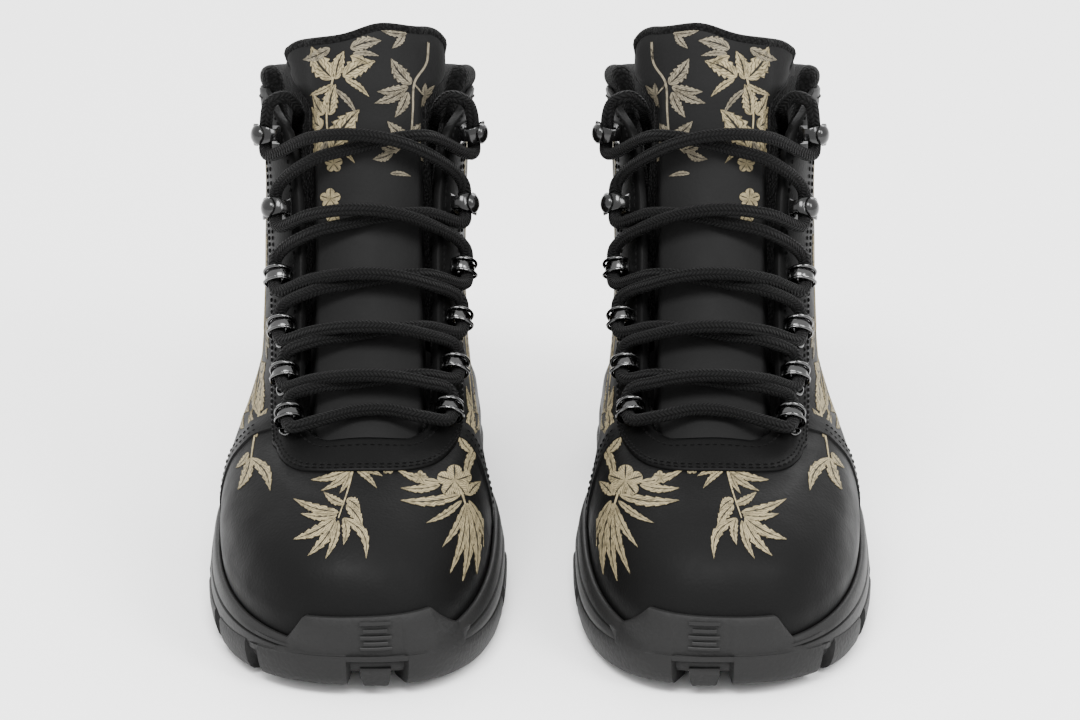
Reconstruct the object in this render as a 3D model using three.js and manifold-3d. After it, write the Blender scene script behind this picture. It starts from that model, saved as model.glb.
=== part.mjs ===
// A pair of mid-cut lace-up hiking boots, size EU 42, in millimetres.
// +Z is up, the toes point along -Y, and the wearer's right boot stands at -X.
// One boot is built in its own frame and the other is its mirror image. In a boot's frame
// x runs towards the inner (medial) side, s runs from the toe tip to the heel, and z is up.
import * as THREE from "three";
import { mergeVertices } from "three/addons/utils/BufferGeometryUtils.js";
import Module from "manifold-3d";

const wasm = await Module();
wasm.setup();

// ---- Driving dimensions ----
const PAIR_SPACING = 130.4; // between the two boots' centre lines
const LEAN = 0.015; // how far a boot leans outwards for each millimetre of height
const MIDDLE_S = 149.65; // the s that lies at the origin's Y
const COLUMNS = 20; // facets round a ring
const GAP = 0.3; // between pieces that touch

const LUG_HEIGHT = 5;
const OUTSOLE_TOP = 9;
const FLOOR_BALL = 12.5; // the midsole's floor under the ball of the foot
const HEEL_RISE = 11; // how much higher its floor is under the heel
const TOE_SPRING = 5;
const SPRING_START = 70; // the sole lifts off the ground ahead of this s
const RIM_FRONT = 19.5; // height of the midsole's rim at the toe
const RIM_RISE = 18.5;
const RIM_WALL = 4.2;
const TOE_ARC = 1.2; // within this angle of the toe the edge lugs stand out less

const LEATHER = 2;
const EYESTAY = 3.2;
const LINING_IN = -3.5; // offsets from the leather's inner face, outwards positive
const LINING_OUT = -2.2;
const COLLAR_IN = -7;
const TONGUE_THICK = 6;
const THROAT_HALF = 24.5; // half the width of the gap that the tongue fills
const THROAT_BASE = 0.514; // where it begins, up the throat
const EYESTAY_BASE = 0.455;

const LACE_D = 5.2;
const LACE_LIFT = 4.3; // the lace's centre above the eyestay where a loop holds it
const LOOP_WIDTH = 6.5;
// One row per lace level from the toe up: how far up the throat, and half the gap between its two sides.
const LEVELS = [
  { w: 0.546, x: 26.5 },
  { w: 0.6, x: 28 },
  { w: 0.655, x: 29.2 },
  { w: 0.716, x: 30.5 },
  { w: 0.812, x: 30 },
  { w: 0.922, x: 33.5 },
];
const HOOK_LEVELS = 2; // the top levels have hooks, and the others closed loops

// ---- The last: rings that climb from the sole to the collar ----
// Each station gives the ring's front and back points (s, z), the half-widths towards the inner
// and outer side at three places along it, where those places are, and how square its ends are.
const STATIONS = [
  {
    t: 0, front: [6, 17], back: [295, 35.5],
    inner: [44.8, 35.5, 34.5], outer: [56, 47.5, 35.5],
    at: [0.35, 0.58, 0.8], ends: [2.6, 2.1], bow: 0.65,
  },
  {
    t: 0.12, front: [4.5, 31], back: [299, 48],
    inner: [44.5, 36, 34.5], outer: [56.5, 46.5, 35.5],
    at: [0.35, 0.58, 0.8], ends: [2.6, 2.1], bow: 0.8,
  },
  {
    t: 0.24, front: [13, 48], back: [299, 60],
    inner: [42, 36, 34.5], outer: [53, 44, 35.5],
    at: [0.35, 0.58, 0.8], ends: [2.5, 2.1], bow: 1,
  },
  {
    t: 0.36, front: [36, 60.5], back: [297, 72],
    inner: [39, 35.5, 34], outer: [46.5, 41.5, 35.5],
    at: [0.36, 0.58, 0.79], ends: [2.3, 2.1], bow: 1,
  },
  {
    t: 0.48, front: [68, 68.5], back: [294, 86],
    inner: [36.5, 35, 33.5], outer: [42, 40, 36],
    at: [0.37, 0.57, 0.77], ends: [2.2, 2.1], bow: 1,
  },
  {
    t: 0.6, front: [101, 90], back: [290, 101],
    inner: [35, 34.5, 33.5], outer: [40.5, 39.5, 37],
    at: [0.39, 0.56, 0.74], ends: [2.1, 2.05], bow: 1,
  },
  {
    t: 0.72, front: [131, 114.5], back: [288, 116],
    inner: [35, 35, 34], outer: [40.3, 40, 38],
    at: [0.42, 0.55, 0.7], ends: [2, 2], bow: 1,
  },
  {
    t: 0.84, front: [154, 142.5], back: [289, 131.5],
    inner: [35.5, 36, 35], outer: [40.2, 40.5, 39],
    at: [0.44, 0.54, 0.66], ends: [2, 2], bow: 1,
  },
  {
    t: 0.96, front: [169, 174], back: [291, 145.5],
    inner: [38.5, 37.5, 36.5], outer: [42, 41.5, 40],
    at: [0.46, 0.54, 0.63], ends: [2, 2], bow: 1,
  },
  {
    t: 1.08, front: [178, 198], back: [294, 158.5],
    inner: [42, 39.5, 37.5], outer: [44, 42.5, 41],
    at: [0.47, 0.54, 0.62], ends: [2, 2], bow: 1,
  },
  {
    t: 1.2, front: [186, 222], back: [297, 171],
    inner: [42.5, 40, 38], outer: [44.5, 43, 41.5],
    at: [0.47, 0.54, 0.62], ends: [2, 2], bow: 1,
  },
];
const STATION_STEP = 0.12;
const COLLAR_T = 1; // the leather's top edge
const COLLAR_BASE = 0.8; // where the padded collar begins

function catmull(a, b, c, d, f) {
  const square = 2 * a - 5 * b + 4 * c - d;
  const cube = 3 * b - a - 3 * c + d;
  return 0.5 * (2 * b + (c - a) * f + square * f * f + cube * f ** 3);
}

// The ring at t, each of its numbers a smooth curve through the stations.
function ringAt(t) {
  const last = STATIONS.length - 1;
  const k = Math.min(last - 1, Math.max(0, Math.floor(t / STATION_STEP)));
  const f = t / STATION_STEP - k;
  const four = [k - 1, k, k + 1, k + 2].map((i) => STATIONS[Math.min(last, Math.max(0, i))]);
  const mix = (key) => four[1][key].map((_, i) => catmull(...four.map((station) => station[key][i]), f));
  const keys = ["front", "back", "inner", "outer", "at", "ends"];
  const bow = four[1].bow + (four[2].bow - four[1].bow) * f;
  return { ...Object.fromEntries(keys.map((key) => [key, mix(key)])), bow };
}

// 0 to 1 over a rounded end: power 2 is an ellipse and more is squarer.
function roundEnd(u, power) {
  return (1 - (1 - Math.min(1, Math.max(0, u))) ** power) ** (1 / power);
}

function hermite(a, b, slopeA, slopeB, span, f) {
  const f2 = f * f;
  const f3 = f2 * f;
  const ends = (2 * f3 - 3 * f2 + 1) * a + (3 * f2 - 2 * f3) * b;
  return ends + span * ((f3 - 2 * f2 + f) * slopeA + (f3 - f2) * slopeB);
}

// Half the ring's width at q, from 0 at its front to 1 at its back.
function halfWidth(ring, q, widths) {
  const [first, middle, rear] = ring.at;
  if (q <= first) return widths[0] * roundEnd(q / first, ring.ends[0]);
  if (q >= rear) return widths[2] * roundEnd((1 - q) / (1 - rear), ring.ends[1]);
  const slope = (widths[2] - widths[0]) / (rear - first);
  const [a, b, c] = widths;
  if (q < middle) return hermite(a, b, 0, slope, middle - first, (q - first) / (middle - first));
  return hermite(b, c, slope, 0, rear - middle, (q - middle) / (rear - middle));
}

// A point on the leather's inner face. The angle runs from 0 at the front to pi at the heel,
// by the inner side when it is positive.
function lastPoint(t, angle) {
  const ring = ringAt(t);
  const q = (1 - Math.cos(angle)) / 2;
  const side = Math.sin(angle) >= 0 ? 1 : -1;
  const x = side * halfWidth(ring, q, side > 0 ? ring.inner : ring.outer);
  const s = ring.front[0] + (ring.back[0] - ring.front[0]) * q;
  const z = ring.front[1] + (ring.back[1] - ring.front[1]) * q ** ring.bow;
  return new THREE.Vector3(x, s, z);
}

function lastNormal(t, angle) {
  const step = 0.004;
  const round = lastPoint(t, angle + step).sub(lastPoint(t, angle - step));
  const up = lastPoint(t + step, angle).sub(lastPoint(Math.max(t - step, 0), angle));
  return round.cross(up).normalize();
}

function surface(t, angle, offset) {
  return lastPoint(t, angle).addScaledVector(lastNormal(t, angle), offset);
}

// The angle at which the ring at t passes x, ahead of its widest place.
function angleAtX(t, x) {
  let low = 0;
  let high = 1.5;
  for (let i = 0; i < 30; i++) {
    const middle = (low + high) / 2;
    if (Math.abs(lastPoint(t, Math.sign(x) * middle).x) < Math.abs(x)) low = middle;
    else high = middle;
  }
  return Math.sign(x) * low;
}

// ---- Heights of the sole ----
function smoothStep(f) {
  const u = Math.min(1, Math.max(0, f));
  return u * u * (3 - 2 * u);
}

function spring(s) {
  return TOE_SPRING * (Math.max(0, SPRING_START - s) / SPRING_START) ** 2;
}

function floorHeight(s) {
  return FLOOR_BALL + spring(s) + HEEL_RISE * smoothStep((s - 90) / 150);
}

function rimHeight(q) {
  return RIM_FRONT + RIM_RISE * q ** 0.65;
}

// ---- Closed solids from rings ----
const xyz = (p) => [p.x, p.y, p.z];

// Joins rings of points, one after another. A cap pairs each point with the one across from it.
function loft(rings, { closed = false, across = (j, n) => (n - j) % n } = {}) {
  const count = rings[0].length;
  const points = rings.flat().flatMap(xyz);
  const faces = [];
  const quad = (a, b, c, d) => {
    if (a !== b && b !== c && a !== c) faces.push(a, b, c);
    if (a !== c && c !== d && a !== d) faces.push(a, c, d);
  };
  const spans = closed ? rings.length : rings.length - 1;
  for (let i = 0; i < spans; i++) {
    const next = (i + 1) % rings.length;
    for (let j = 0; j < count; j++) {
      const k = (j + 1) % count;
      quad(i * count + j, i * count + k, next * count + k, next * count + j);
    }
  }
  if (!closed) {
    const top = (rings.length - 1) * count;
    for (let j = 0; j < Math.floor(count / 2); j++) {
      const [a, b, c, d] = [j, j + 1, across(j + 1, count), across(j, count)];
      quad(a, d, c, b);
      quad(top + a, top + b, top + c, top + d);
    }
  }
  const geometry = new THREE.BufferGeometry();
  geometry.setAttribute("position", new THREE.Float32BufferAttribute(points, 3));
  geometry.setIndex(faces);
  return geometry;
}

function toSolid(geometry) {
  const bare = geometry.clone();
  bare.deleteAttribute("normal");
  bare.deleteAttribute("uv");
  const merged = mergeVertices(bare, 1e-3);
  const triVerts = new Uint32Array(merged.index.array);
  const vertProperties = merged.attributes.position.array;
  const build = () => new wasm.Manifold(new wasm.Mesh({ numProp: 3, vertProperties, triVerts }));
  const solid = build();
  if (solid.volume() > 0) return solid;
  for (let i = 0; i < triVerts.length; i += 3) {
    [triVerts[i + 1], triVerts[i + 2]] = [triVerts[i + 2], triVerts[i + 1]];
  }
  return build();
}

// The largest body of a solid, without the crumbs that a cut can leave.
function mainBody(solid) {
  return solid.decompose().reduce((best, body) => (body.volume() > best.volume() ? body : best));
}

function toGeometry(solid) {
  const mesh = solid.getMesh();
  const stride = mesh.numProp;
  const positions = new Float32Array(mesh.numVert * 3);
  for (let i = 0; i < mesh.numVert; i++) {
    positions.set(mesh.vertProperties.subarray(i * stride, i * stride + 3), i * 3);
  }
  const geometry = new THREE.BufferGeometry();
  geometry.setAttribute("position", new THREE.BufferAttribute(positions, 3));
  geometry.setIndex(new THREE.BufferAttribute(mesh.triVerts, 1));
  geometry.computeVertexNormals();
  return geometry;
}

const angles = Array.from({ length: COLUMNS }, (_, j) => (2 * Math.PI * j) / COLUMNS);

function ring(t, offset) {
  return angles.map((angle) => surface(t, angle, offset));
}

// A shell over part of the last, between two angles, from one offset to another.
function patch(ts, [from, to], inside, outside, steps) {
  const rows = ts.map((t) => {
    const row = (offset) => spread(from, to, steps + 1).map((angle) => surface(t, angle, offset));
    return [...row(outside), ...row(inside).reverse()];
  });
  return loft(rows, { across: (j, n) => n - 1 - j });
}

function spread(from, to, count) {
  return Array.from({ length: count }, (_, i) => from + ((to - from) * i) / (count - 1));
}

// ---- Places on the throat: x across it, and w up it ----
// Lines of equal w are straight across at its foot, and follow the rings higher up.
function throatSpot(x, w) {
  const t = w - 0.075 * (1 - smoothStep((w - 0.5) / 0.3)) * (x / 38) ** 2;
  return { t, angle: angleAtX(t, x) };
}

// A leaf over the throat. halves(w) gives its half-widths towards the outer and inner side.
function throatLeaf(ws, halves, inside, outside, steps) {
  const rows = ws.map((w) => {
    const [outer, inner] = halves(w);
    const row = (offset) =>
      spread(-outer, inner, steps + 1).map((x) => {
        const { t, angle } = throatSpot(x, w);
        return surface(t, angle, typeof offset === "function" ? offset(x, w) : offset);
      });
    return [...row(outside), ...row(inside).reverse()];
  });
  return loft(rows, { across: (j, n) => n - 1 - j });
}

// ---- Cutters ----
const vectors = (points) => points.map(([x, y]) => new THREE.Vector2(x, y));

function extrude(points, depth) {
  return new THREE.ExtrudeGeometry(new THREE.Shape(vectors(points)), { depth, bevelEnabled: false });
}

// An outline is a list of (x, s) points, and its prism stands between two heights.
function prism(points, bottom, top) {
  const geometry = extrude(points, top - bottom);
  return toSolid(geometry.translate(0, 0, bottom));
}

// Half the width of a U that begins at w, with round corners that rise over a given height.
function roundedU(w, start, half, corner, rise) {
  return half - corner + corner * roundEnd((w - start) / rise, 2);
}

// The eyestay's edge stays a little ahead of the ring's widest place.
function eyestayHalves(w, grow = 0) {
  const { inner, outer } = ringAt(w);
  const half = 35.5 + 4 * smoothStep((w - 0.6) / 0.3);
  const start = EYESTAY_BASE - grow * 0.003;
  const width = (widest) => Math.min(half, 0.955 * widest) + grow;
  return [outer[0], inner[0]].map((widest) => roundedU(w, start, width(widest), 16, 0.06));
}

const U_ROWS = [0, 0.015, 0.06];
const SHAFT_ROWS = [0.62, 0.72, 0.82, 0.92, 1.01];
const BEYOND = 9; // cutters reach this far to both sides of the surface

function eyestayRegion(grow) {
  const start = EYESTAY_BASE - grow * 0.003;
  const ws = [...U_ROWS.map((w) => start + w + 0.001), ...SHAFT_ROWS];
  return toSolid(throatLeaf(ws, (w) => eyestayHalves(w, grow), -BEYOND, BEYOND, 6));
}

function throatCut(grow) {
  const ws = [...U_ROWS.map((w) => THROAT_BASE + w + 0.001), ...SHAFT_ROWS.slice(0, -1), 1.12];
  const half = (w) => roundedU(w, THROAT_BASE, THROAT_HALF + grow, 12, 0.06);
  return toSolid(throatLeaf(ws, (w) => [half(w), half(w)], -BEYOND - 4, BEYOND, 4));
}

// The upper end of the throat, seen from the front: a V that opens towards the collar.
function throatV(points) {
  const outline = [...points, ...points.map(([x, z]) => [-x, z]).reverse()];
  const geometry = extrude(outline, 70);
  return toSolid(geometry.rotateX(Math.PI / 2).translate(0, 215, 0));
}

const EYESTAY_V = throatV([[18, 120], [24.5, 128], [26, 146], [28.5, 162], [36, 173], [44, 188], [44, 260]]);
const COLLAR_V = throatV([[18, 118], [27, 128], [32, 148], [34.5, 168], [34.5, 260]]);

// ---- The upper ----
const LEATHER_TS = [0, 0.08, 0.18, 0.3, 0.42, 0.54, 0.67, 0.8, 0.91, COLLAR_T];

// The leather's foot goes down inside the midsole's rim to the floor.
function footRing(offset, lift) {
  return angles.map((angle) => {
    const p = surface(0, angle, offset);
    return new THREE.Vector3(p.x, p.y, Math.min(p.z - 0.5, floorHeight(p.y) + lift));
  });
}

function upperShell(thickness) {
  const outer = [footRing(thickness, GAP), ...LEATHER_TS.map((t) => ring(t, thickness))];
  const inner = [footRing(0, GAP), ...LEATHER_TS.map((t) => ring(t, 0))];
  return toSolid(loft([...outer, ...inner.reverse()], { closed: true }));
}

const SEAM_S = 118; // where the vamp meets the quarters, at the side

// The part of the shell ahead of the vamp seam, which runs back as it goes down.
function vampSide(shift) {
  const inward = 30;
  const outline = [
    [-90, -30],
    [90, -30],
    [90, SEAM_S + 22 + shift],
    [inward, SEAM_S - 20 + shift],
    [-inward, SEAM_S - 20 + shift],
    [-90, SEAM_S + 22 + shift],
  ];
  return prism(outline, 0, 260);
}

// Everything inside a face that stands a little off the leather: other pieces are cut to fit round it.
function upperCore(offset) {
  return toSolid(loft([footRing(offset, 0), ...LEATHER_TS.slice(0, 5).map((t) => ring(t, offset))]));
}

const core = upperCore(LEATHER + GAP);
const shell = upperShell(LEATHER);
const outsideEyestay = shell.subtract(eyestayRegion(0.5));
const vamp = outsideEyestay.intersect(vampSide(0));
const quarters = outsideEyestay.subtract(vampSide(0.5));
const innerHalf = prism([[0.3, 0], [90, 0], [90, 330], [0.3, 330]], 0, 260);
const outerHalf = prism([[-90, 0], [-0.3, 0], [-0.3, 330], [-90, 330]], 0, 260);

function eyestay() {
  const whole = upperShell(EYESTAY).intersect(eyestayRegion(0));
  let body = whole.subtract(throatCut(0)).subtract(EYESTAY_V);
  for (const { x, w } of LEVELS) {
    for (const side of [1, -1]) body = body.subtract(hardwareSeat(throatFrame(side * x, w, EYESTAY)));
  }
  return body;
}

// The thin knit lining, from the board up to the padded collar.
function lining() {
  const wall = [0.02, ...LEATHER_TS.slice(1, -3), COLLAR_BASE - 0.006];
  const outer = wall.map((t) => ring(t, LINING_OUT));
  const inner = wall.map((t) => ring(t, LINING_IN));
  return toSolid(loft([...outer, ...inner.reverse()], { closed: true })).subtract(throatCut(2));
}

// The padded collar, which carries the lining on up and stands above the leather.
function collar() {
  const rings = [
    ring(COLLAR_BASE, LINING_OUT),
    ring(0.91, LINING_OUT),
    ring(COLLAR_T - 0.02, -0.9),
    ring(COLLAR_T + 0.015, 0.3),
    ring(COLLAR_T + 0.045, -1.8),
    ring(COLLAR_T + 0.045, -4.6),
    ring(COLLAR_T + 0.015, COLLAR_IN + 0.4),
    ring(0.95, COLLAR_IN),
    ring(0.91, COLLAR_IN + 1.5),
    ring(COLLAR_BASE, LINING_IN),
  ];
  return toSolid(loft(rings, { closed: true })).subtract(throatCut(2)).subtract(COLLAR_V);
}

// ---- The tongue: a padded leaf that follows the throat and stands above the collar ----
function tongueHalf(w) {
  const flare = 27.5 + 6.5 * smoothStep((w - 0.985) / 0.05);
  return flare - 9 * (1 - roundEnd((1.118 - w) / 0.04, 2));
}

// Its sides lie low between the lacing rows, and flatten out above them.
function tongueTop(x, w) {
  const drop = 5 - 3.5 * smoothStep((w - 0.985) / 0.05);
  return -0.5 - drop * smoothStep((Math.abs(x) - 6) / 17);
}

function tongue() {
  const ws = [0.522, 0.6, 0.68, 0.77, 0.86, 0.94, 0.99, 1.02, 1.06, 1.1, 1.115];
  const under = (x, w) => tongueTop(x, w) - TONGUE_THICK + 3 * smoothStep((Math.abs(x) - 18) / 8);
  return throatLeaf(ws, (w) => [tongueHalf(w), tongueHalf(w)], under, tongueTop, 6);
}

// ---- Stiffeners between the lining and the leather, on the leather's own facets ----
function stiffener(ts, columns) {
  const step = (2 * Math.PI) / COLUMNS;
  return patch(ts, columns.map((j) => j * step), -1.5, -0.8, columns[1] - columns[0]);
}

const heelCounter = () => stiffener(LEATHER_TS.slice(1, 5), [7, 13]);
const toePuff = () => stiffener(LEATHER_TS.slice(1, 4), [-3, 3]);

// ---- The pull tab: folded webbing sewn to the heel ----
function pullTab() {
  const half = 0.22;
  const ts = [0.72, 0.86, COLLAR_T, 1.06, 1.1];
  return patch(ts, [Math.PI - half, Math.PI + half], LEATHER + 0.6, LEATHER + 3, 2);
}

// ---- The sole ----
function soleRing(offset, height) {
  return angles.map((angle) => {
    const p = surface(0, angle, offset);
    const q = (1 - Math.cos(angle)) / 2;
    return new THREE.Vector3(p.x, p.y, height(p.y, q));
  });
}

const underside = (s) => OUTSOLE_TOP + spring(s) + GAP;

// The midsole's outer form, grown on every side by a given amount.
function midsoleForm(grow) {
  return toSolid(
    loft([
      soleRing(LEATHER + 1 + grow, (s) => underside(s) - grow),
      soleRing(LEATHER + RIM_WALL + 0.8 + grow, (s) => underside(s) + 2.5),
      soleRing(LEATHER + RIM_WALL + grow, (s, q) => rimHeight(q) - 2),
      soleRing(LEATHER + RIM_WALL - 1.6 + grow, (s, q) => rimHeight(q) + grow),
    ]),
  );
}

const midsole = () => midsoleForm(0).subtract(core).subtract(shankBay(0.3));

// The shank lies in a shallow bay in the midsole's floor, under the arch.
function shankSection(s, grow, top, depth) {
  const half = 13 + grow;
  const centre = -6;
  const upper = floorHeight(s) + top;
  const lower = floorHeight(s) - depth;
  const corners = [[-1, lower], [1, lower], [1, upper], [-1, upper]];
  return corners.map(([side, z]) => new THREE.Vector3(centre + side * half, s, z));
}

function shankBody(grow, top, depth) {
  const stops = spread(120 - grow, 235 + grow, 6);
  return loft(stops.map((s) => shankSection(s, grow, top, depth)), { across: (j, n) => n - 1 - j });
}

const shankBay = (grow) => toSolid(shankBody(grow, 2, 2.2));
const shank = () => shankBody(0, -0.1, 1.9);

function slab(offset, bottom, top) {
  return loft([soleRing(offset, bottom), soleRing(offset, top)]);
}

const lastingBoard = () => slab(-1, (s) => floorHeight(s) + GAP, (s) => floorHeight(s) + 2);

function footbedTop(s, q) {
  return floorHeight(s) + 7 + 1.5 * smoothStep((q - 0.5) / 0.3);
}

function footbed() {
  return loft([
    soleRing(-5.2, (s) => floorHeight(s) + 2.3),
    soleRing(-4.6, (s, q) => footbedTop(s, q) + 1.2),
    soleRing(-8, (s, q) => footbedTop(s, q) + 0.6),
    soleRing(-13, footbedTop),
  ]);
}

// A tread lug: a block whose outline is given, from the ground up into the outsole.
function lugBlock(points, top) {
  const s = points.reduce((sum, p) => sum + p[1], 0) / points.length;
  return prism(points, spring(s), top + spring(s));
}

// Lugs along the edge climb the side wall. They face out at even steps round the outline.
function edgeLugs() {
  const count = 16;
  const cover = 0.78;
  const at = (angle, offset) => {
    const p = surface(0, angle, offset);
    return [p.x, p.y];
  };
  return Array.from({ length: count }, (_, k) => {
    const middle = ((k + 0.5) / count) * 2 * Math.PI;
    const reach = (Math.PI / count) * cover;
    const stand = middle < TOE_ARC || middle > 2 * Math.PI - TOE_ARC ? 5.4 : 7.4;
    const outline = [
      at(middle - reach, stand),
      at(middle + reach, stand),
      at(middle + reach * 0.8, -11),
      at(middle - reach * 0.8, -11),
    ];
    return lugBlock(outline, 13);
  });
}

// Slanting bars under the ball and the heel, and two flat blocks that carry the weight.
function middleLugs() {
  const bar = (x, s, half, length, slant) => [
    [x - half, s],
    [x + half, s + slant],
    [x + half, s + slant + length],
    [x - half, s + length],
  ];
  const outlines = [
    ...[42, 66, 90].flatMap((s) => [bar(-24, s, 11, 10, -6), bar(9, s + 4, 11, 10, 6)]),
    bar(-15, 222, 9, 10, -5),
    bar(8, 224, 9, 10, 5),
    bar(-5, 120, 16, 12, 0),
    bar(-4, 250, 14, 14, 0),
  ];
  return outlines.map((outline) => lugBlock(outline, 7));
}

// The outsole's toe wraps up over the midsole and the vamp as a bumper.
function bumper() {
  const low = () => OUTSOLE_TOP - 2 + TOE_SPRING;
  const form = loft([
    soleRing(LEATHER + RIM_WALL + 2.4, low),
    ring(0, LEATHER + RIM_WALL + 2.2),
    ring(0.06, LEATHER + 5.4),
    ring(0.105, LEATHER + 3.6),
    ring(0.13, LEATHER + 1.8),
    ring(0.13, -4),
    soleRing(0, low),
  ]);
  const outline = [[-40, 4], [38, 4], [38, 16], [33, 20], [23, 34], [-22, 34], [-30, 19], [-40, 14]];
  const front = extrude(outline, 70);
  front.rotateX(Math.PI / 2).translate(0, 50, 0);
  return toSolid(form).intersect(toSolid(front)).subtract(core);
}

function outsole() {
  const plateTop = (s) => OUTSOLE_TOP + spring(s);
  const plate = loft([
    soleRing(LEATHER - 1, (s) => LUG_HEIGHT + spring(s)),
    soleRing(LEATHER + 3.4, (s) => LUG_HEIGHT + 1.5 + spring(s)),
    soleRing(LEATHER + 3.4, plateTop),
  ]);
  let body = toSolid(plate).add(bumper());
  for (const lug of [...edgeLugs(), ...middleLugs()]) body = body.add(lug);
  return mainBody(body.subtract(midsoleForm(GAP)));
}

// ---- Lace hardware ----
// A place on the throat: its point, and the directions out to the side, up the throat and off the surface.
function throatFrame(x, w, offset) {
  const { t, angle } = throatSpot(x, w);
  const at = (u) => surface(u, angleAtX(u, x), offset);
  const point = at(t);
  const up = at(t + 0.02).sub(at(t - 0.02)).normalize();
  const off = lastNormal(t, angle);
  const out = new THREE.Vector3().crossVectors(up, off).normalize();
  if (out.x * x < 0) out.negate();
  const square = new THREE.Vector3().crossVectors(out, up).normalize();
  if (square.dot(off) < 0) square.negate();
  return { point, up, out, off: square };
}

// Extrudes an outline drawn in (out, off) along the throat, centred on the place.
function throatExtrude(place, shape, width) {
  const geometry = new THREE.ExtrudeGeometry(shape, { depth: width, bevelEnabled: false });
  geometry.translate(0, 0, -width / 2);
  const basis = new THREE.Matrix4().makeBasis(place.out, place.off, place.up).setPosition(place.point);
  return toGeometry(toSolid(geometry.applyMatrix4(basis)));
}

// The flat place that a foot plate needs, where the eyestay's facets would rise through it.
function hardwareSeat(place) {
  const geometry = new THREE.BoxGeometry(12.6, 4, LOOP_WIDTH + 1.6).translate(1.3, 2, 0);
  const basis = new THREE.Matrix4().makeBasis(place.out, place.off, place.up).setPosition(place.point);
  return toSolid(geometry.applyMatrix4(basis));
}

// A closed loop of bent strip: a foot plate on the leather and an arch over the lace.
// The outlines' numbers are outwards from the loop's centre, then up from the eyestay.
function laceLoop(place) {
  const outside = [[-4.6, 0.3], [6.6, 0.3], [7.6, 3.4], [3.8, 8.2], [-1.8, 8.8], [-5.2, 5]];
  const opening = [[-3.7, 1.2], [-4.1, 4.6], [-1.3, 7.7], [3.2, 7.2], [6.4, 3.3], [5.9, 1.2]];
  const shape = new THREE.Shape(vectors(outside));
  shape.holes.push(new THREE.Path(vectors(opening)));
  return throatExtrude(place, shape, LOOP_WIDTH);
}

// A speed hook: a foot plate, a stem on the tongue's side and a cap that is open outwards.
function speedHook(place) {
  const foot = [[-4.4, 0.3], [5, 0.3], [5, 1.2], [-3, 1.2]];
  const underCap = [[-3, 6.9], [1.5, 7.8], [4.6, 9.6]];
  const overCap = [[3.8, 10.4], [0.6, 9.3], [-3.4, 8.6], [-4.6, 6.8]];
  const shape = new THREE.Shape(vectors([...foot, ...underCap, ...overCap]));
  return throatExtrude(place, shape, LOOP_WIDTH + 1);
}

// ---- The lace ----
// Heights of the lace's centre: it lies on the tongue in the middle and on the eyestay at the sides.
function laceOffset(x) {
  const onTongue = tongueTop(0, 0) + LACE_D / 2 + 1.3;
  const onEyestay = EYESTAY + LACE_D / 2 + 1.9;
  return onTongue + (onEyestay - onTongue) * smoothStep((Math.abs(x) - 6) / 14);
}

// Where the lace runs through a loop or hook on one side, and the leads above and below it.
function throughLoop(level, side) {
  const { w, x } = LEVELS[level];
  const { point, up, out, off } = throatFrame(side * x, w, EYESTAY + LACE_LIFT);
  const at = (across, along, lift) =>
    point.clone().addScaledVector(out, across).addScaledVector(up, along).addScaledVector(off, lift);
  return [at(-1.8, 7.6, LEAD_LIFT), at(1, 0, 0), at(-1.8, -7.6, LEAD_LIFT)];
}

// How far up the throat a point is, seen square on to it.
const climb = (p) => (p.y + p.z) / Math.SQRT2;

// A point of the lace's centre line over the throat, at x and at a given climb.
function laceOver(x, height, lift) {
  let low = THROAT_BASE - 0.08;
  let high = 1.1;
  const at = (w) => {
    const { t, angle } = throatSpot(x || 0.01, w);
    return surface(t, angle, laceOffset(x) + lift);
  };
  for (let i = 0; i < 24; i++) {
    const middle = (low + high) / 2;
    if (climb(at(middle)) < height) low = middle;
    else high = middle;
  }
  return at(low);
}

// A strand across the tongue between two leads, straight as seen square on. An upper strand humps over
// the lower one.
function strand(from, to, hump, arch = 0) {
  const reach = 18;
  const side = Math.sign(from.x);
  return spread(reach, -reach, 4).map((x) => {
    const across = side * x;
    const height = climb(from) + ((climb(to) - climb(from)) * (from.x - across)) / (from.x - to.x);
    const lift = hump * Math.exp(-((x / HUMP_SPREAD) ** 2));
    return laceOver(across, height + arch * (1 - (x / reach) ** 2), lift);
  });
}

const LEAD_LIFT = 0.9; // beside a loop the lace rises a little, to clear the edge
const HUMP = LACE_D + 1.6;
const HUMP_SPREAD = 13;
const BAR_ARCH = 4.5; // how far the lowest strand rises in its middle

// One half of the lace, from the top hook on the given side down to the lowest loop.
function halfLace(startSide, over) {
  const points = [];
  let side = startSide;
  for (let level = LEVELS.length - 1; level >= 0; level--) {
    points.push(...throughLoop(level, side));
    if (level > 0) {
      const next = throughLoop(level - 1, -side);
      points.push(...strand(points.at(-1), next[0], level % 2 === over ? HUMP : 0));
      side = -side;
    }
  }
  return points;
}

// The free end: over the collar's edge beside the tongue, then down the inside of the shaft.
// Each place is t, x and an offset; inside the shaft the angle takes the place of x.
function tail(side) {
  const over = [[0.974, 32.9, 7.1], [0.987, 31.6, 4.6], [0.987, 31.4, 0.5], [0.97, 31.5, -4]];
  const down = [[0.92, 1.15, -10], [0.82, 1.36, -9], [0.66, 1.46, -7.5], [0.5, 1.5, -7.5]];
  return [
    ...over.map(([t, x, offset]) => surface(t, angleAtX(t, side * x), offset)),
    ...down.map(([t, angle, offset]) => surface(t, side * angle, offset)),
  ];
}

// The whole route, from one tip to the other. Both halves end at the lowest loops, on opposite sides.
function laceRoute() {
  const first = halfLace(1, 0);
  const second = halfLace(-1, 1);
  const bar = strand(first.at(-1), second.at(-1), 0, BAR_ARCH);
  return [...tail(1).reverse(), ...first, ...bar, ...second.reverse(), ...tail(-1)];
}

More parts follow.
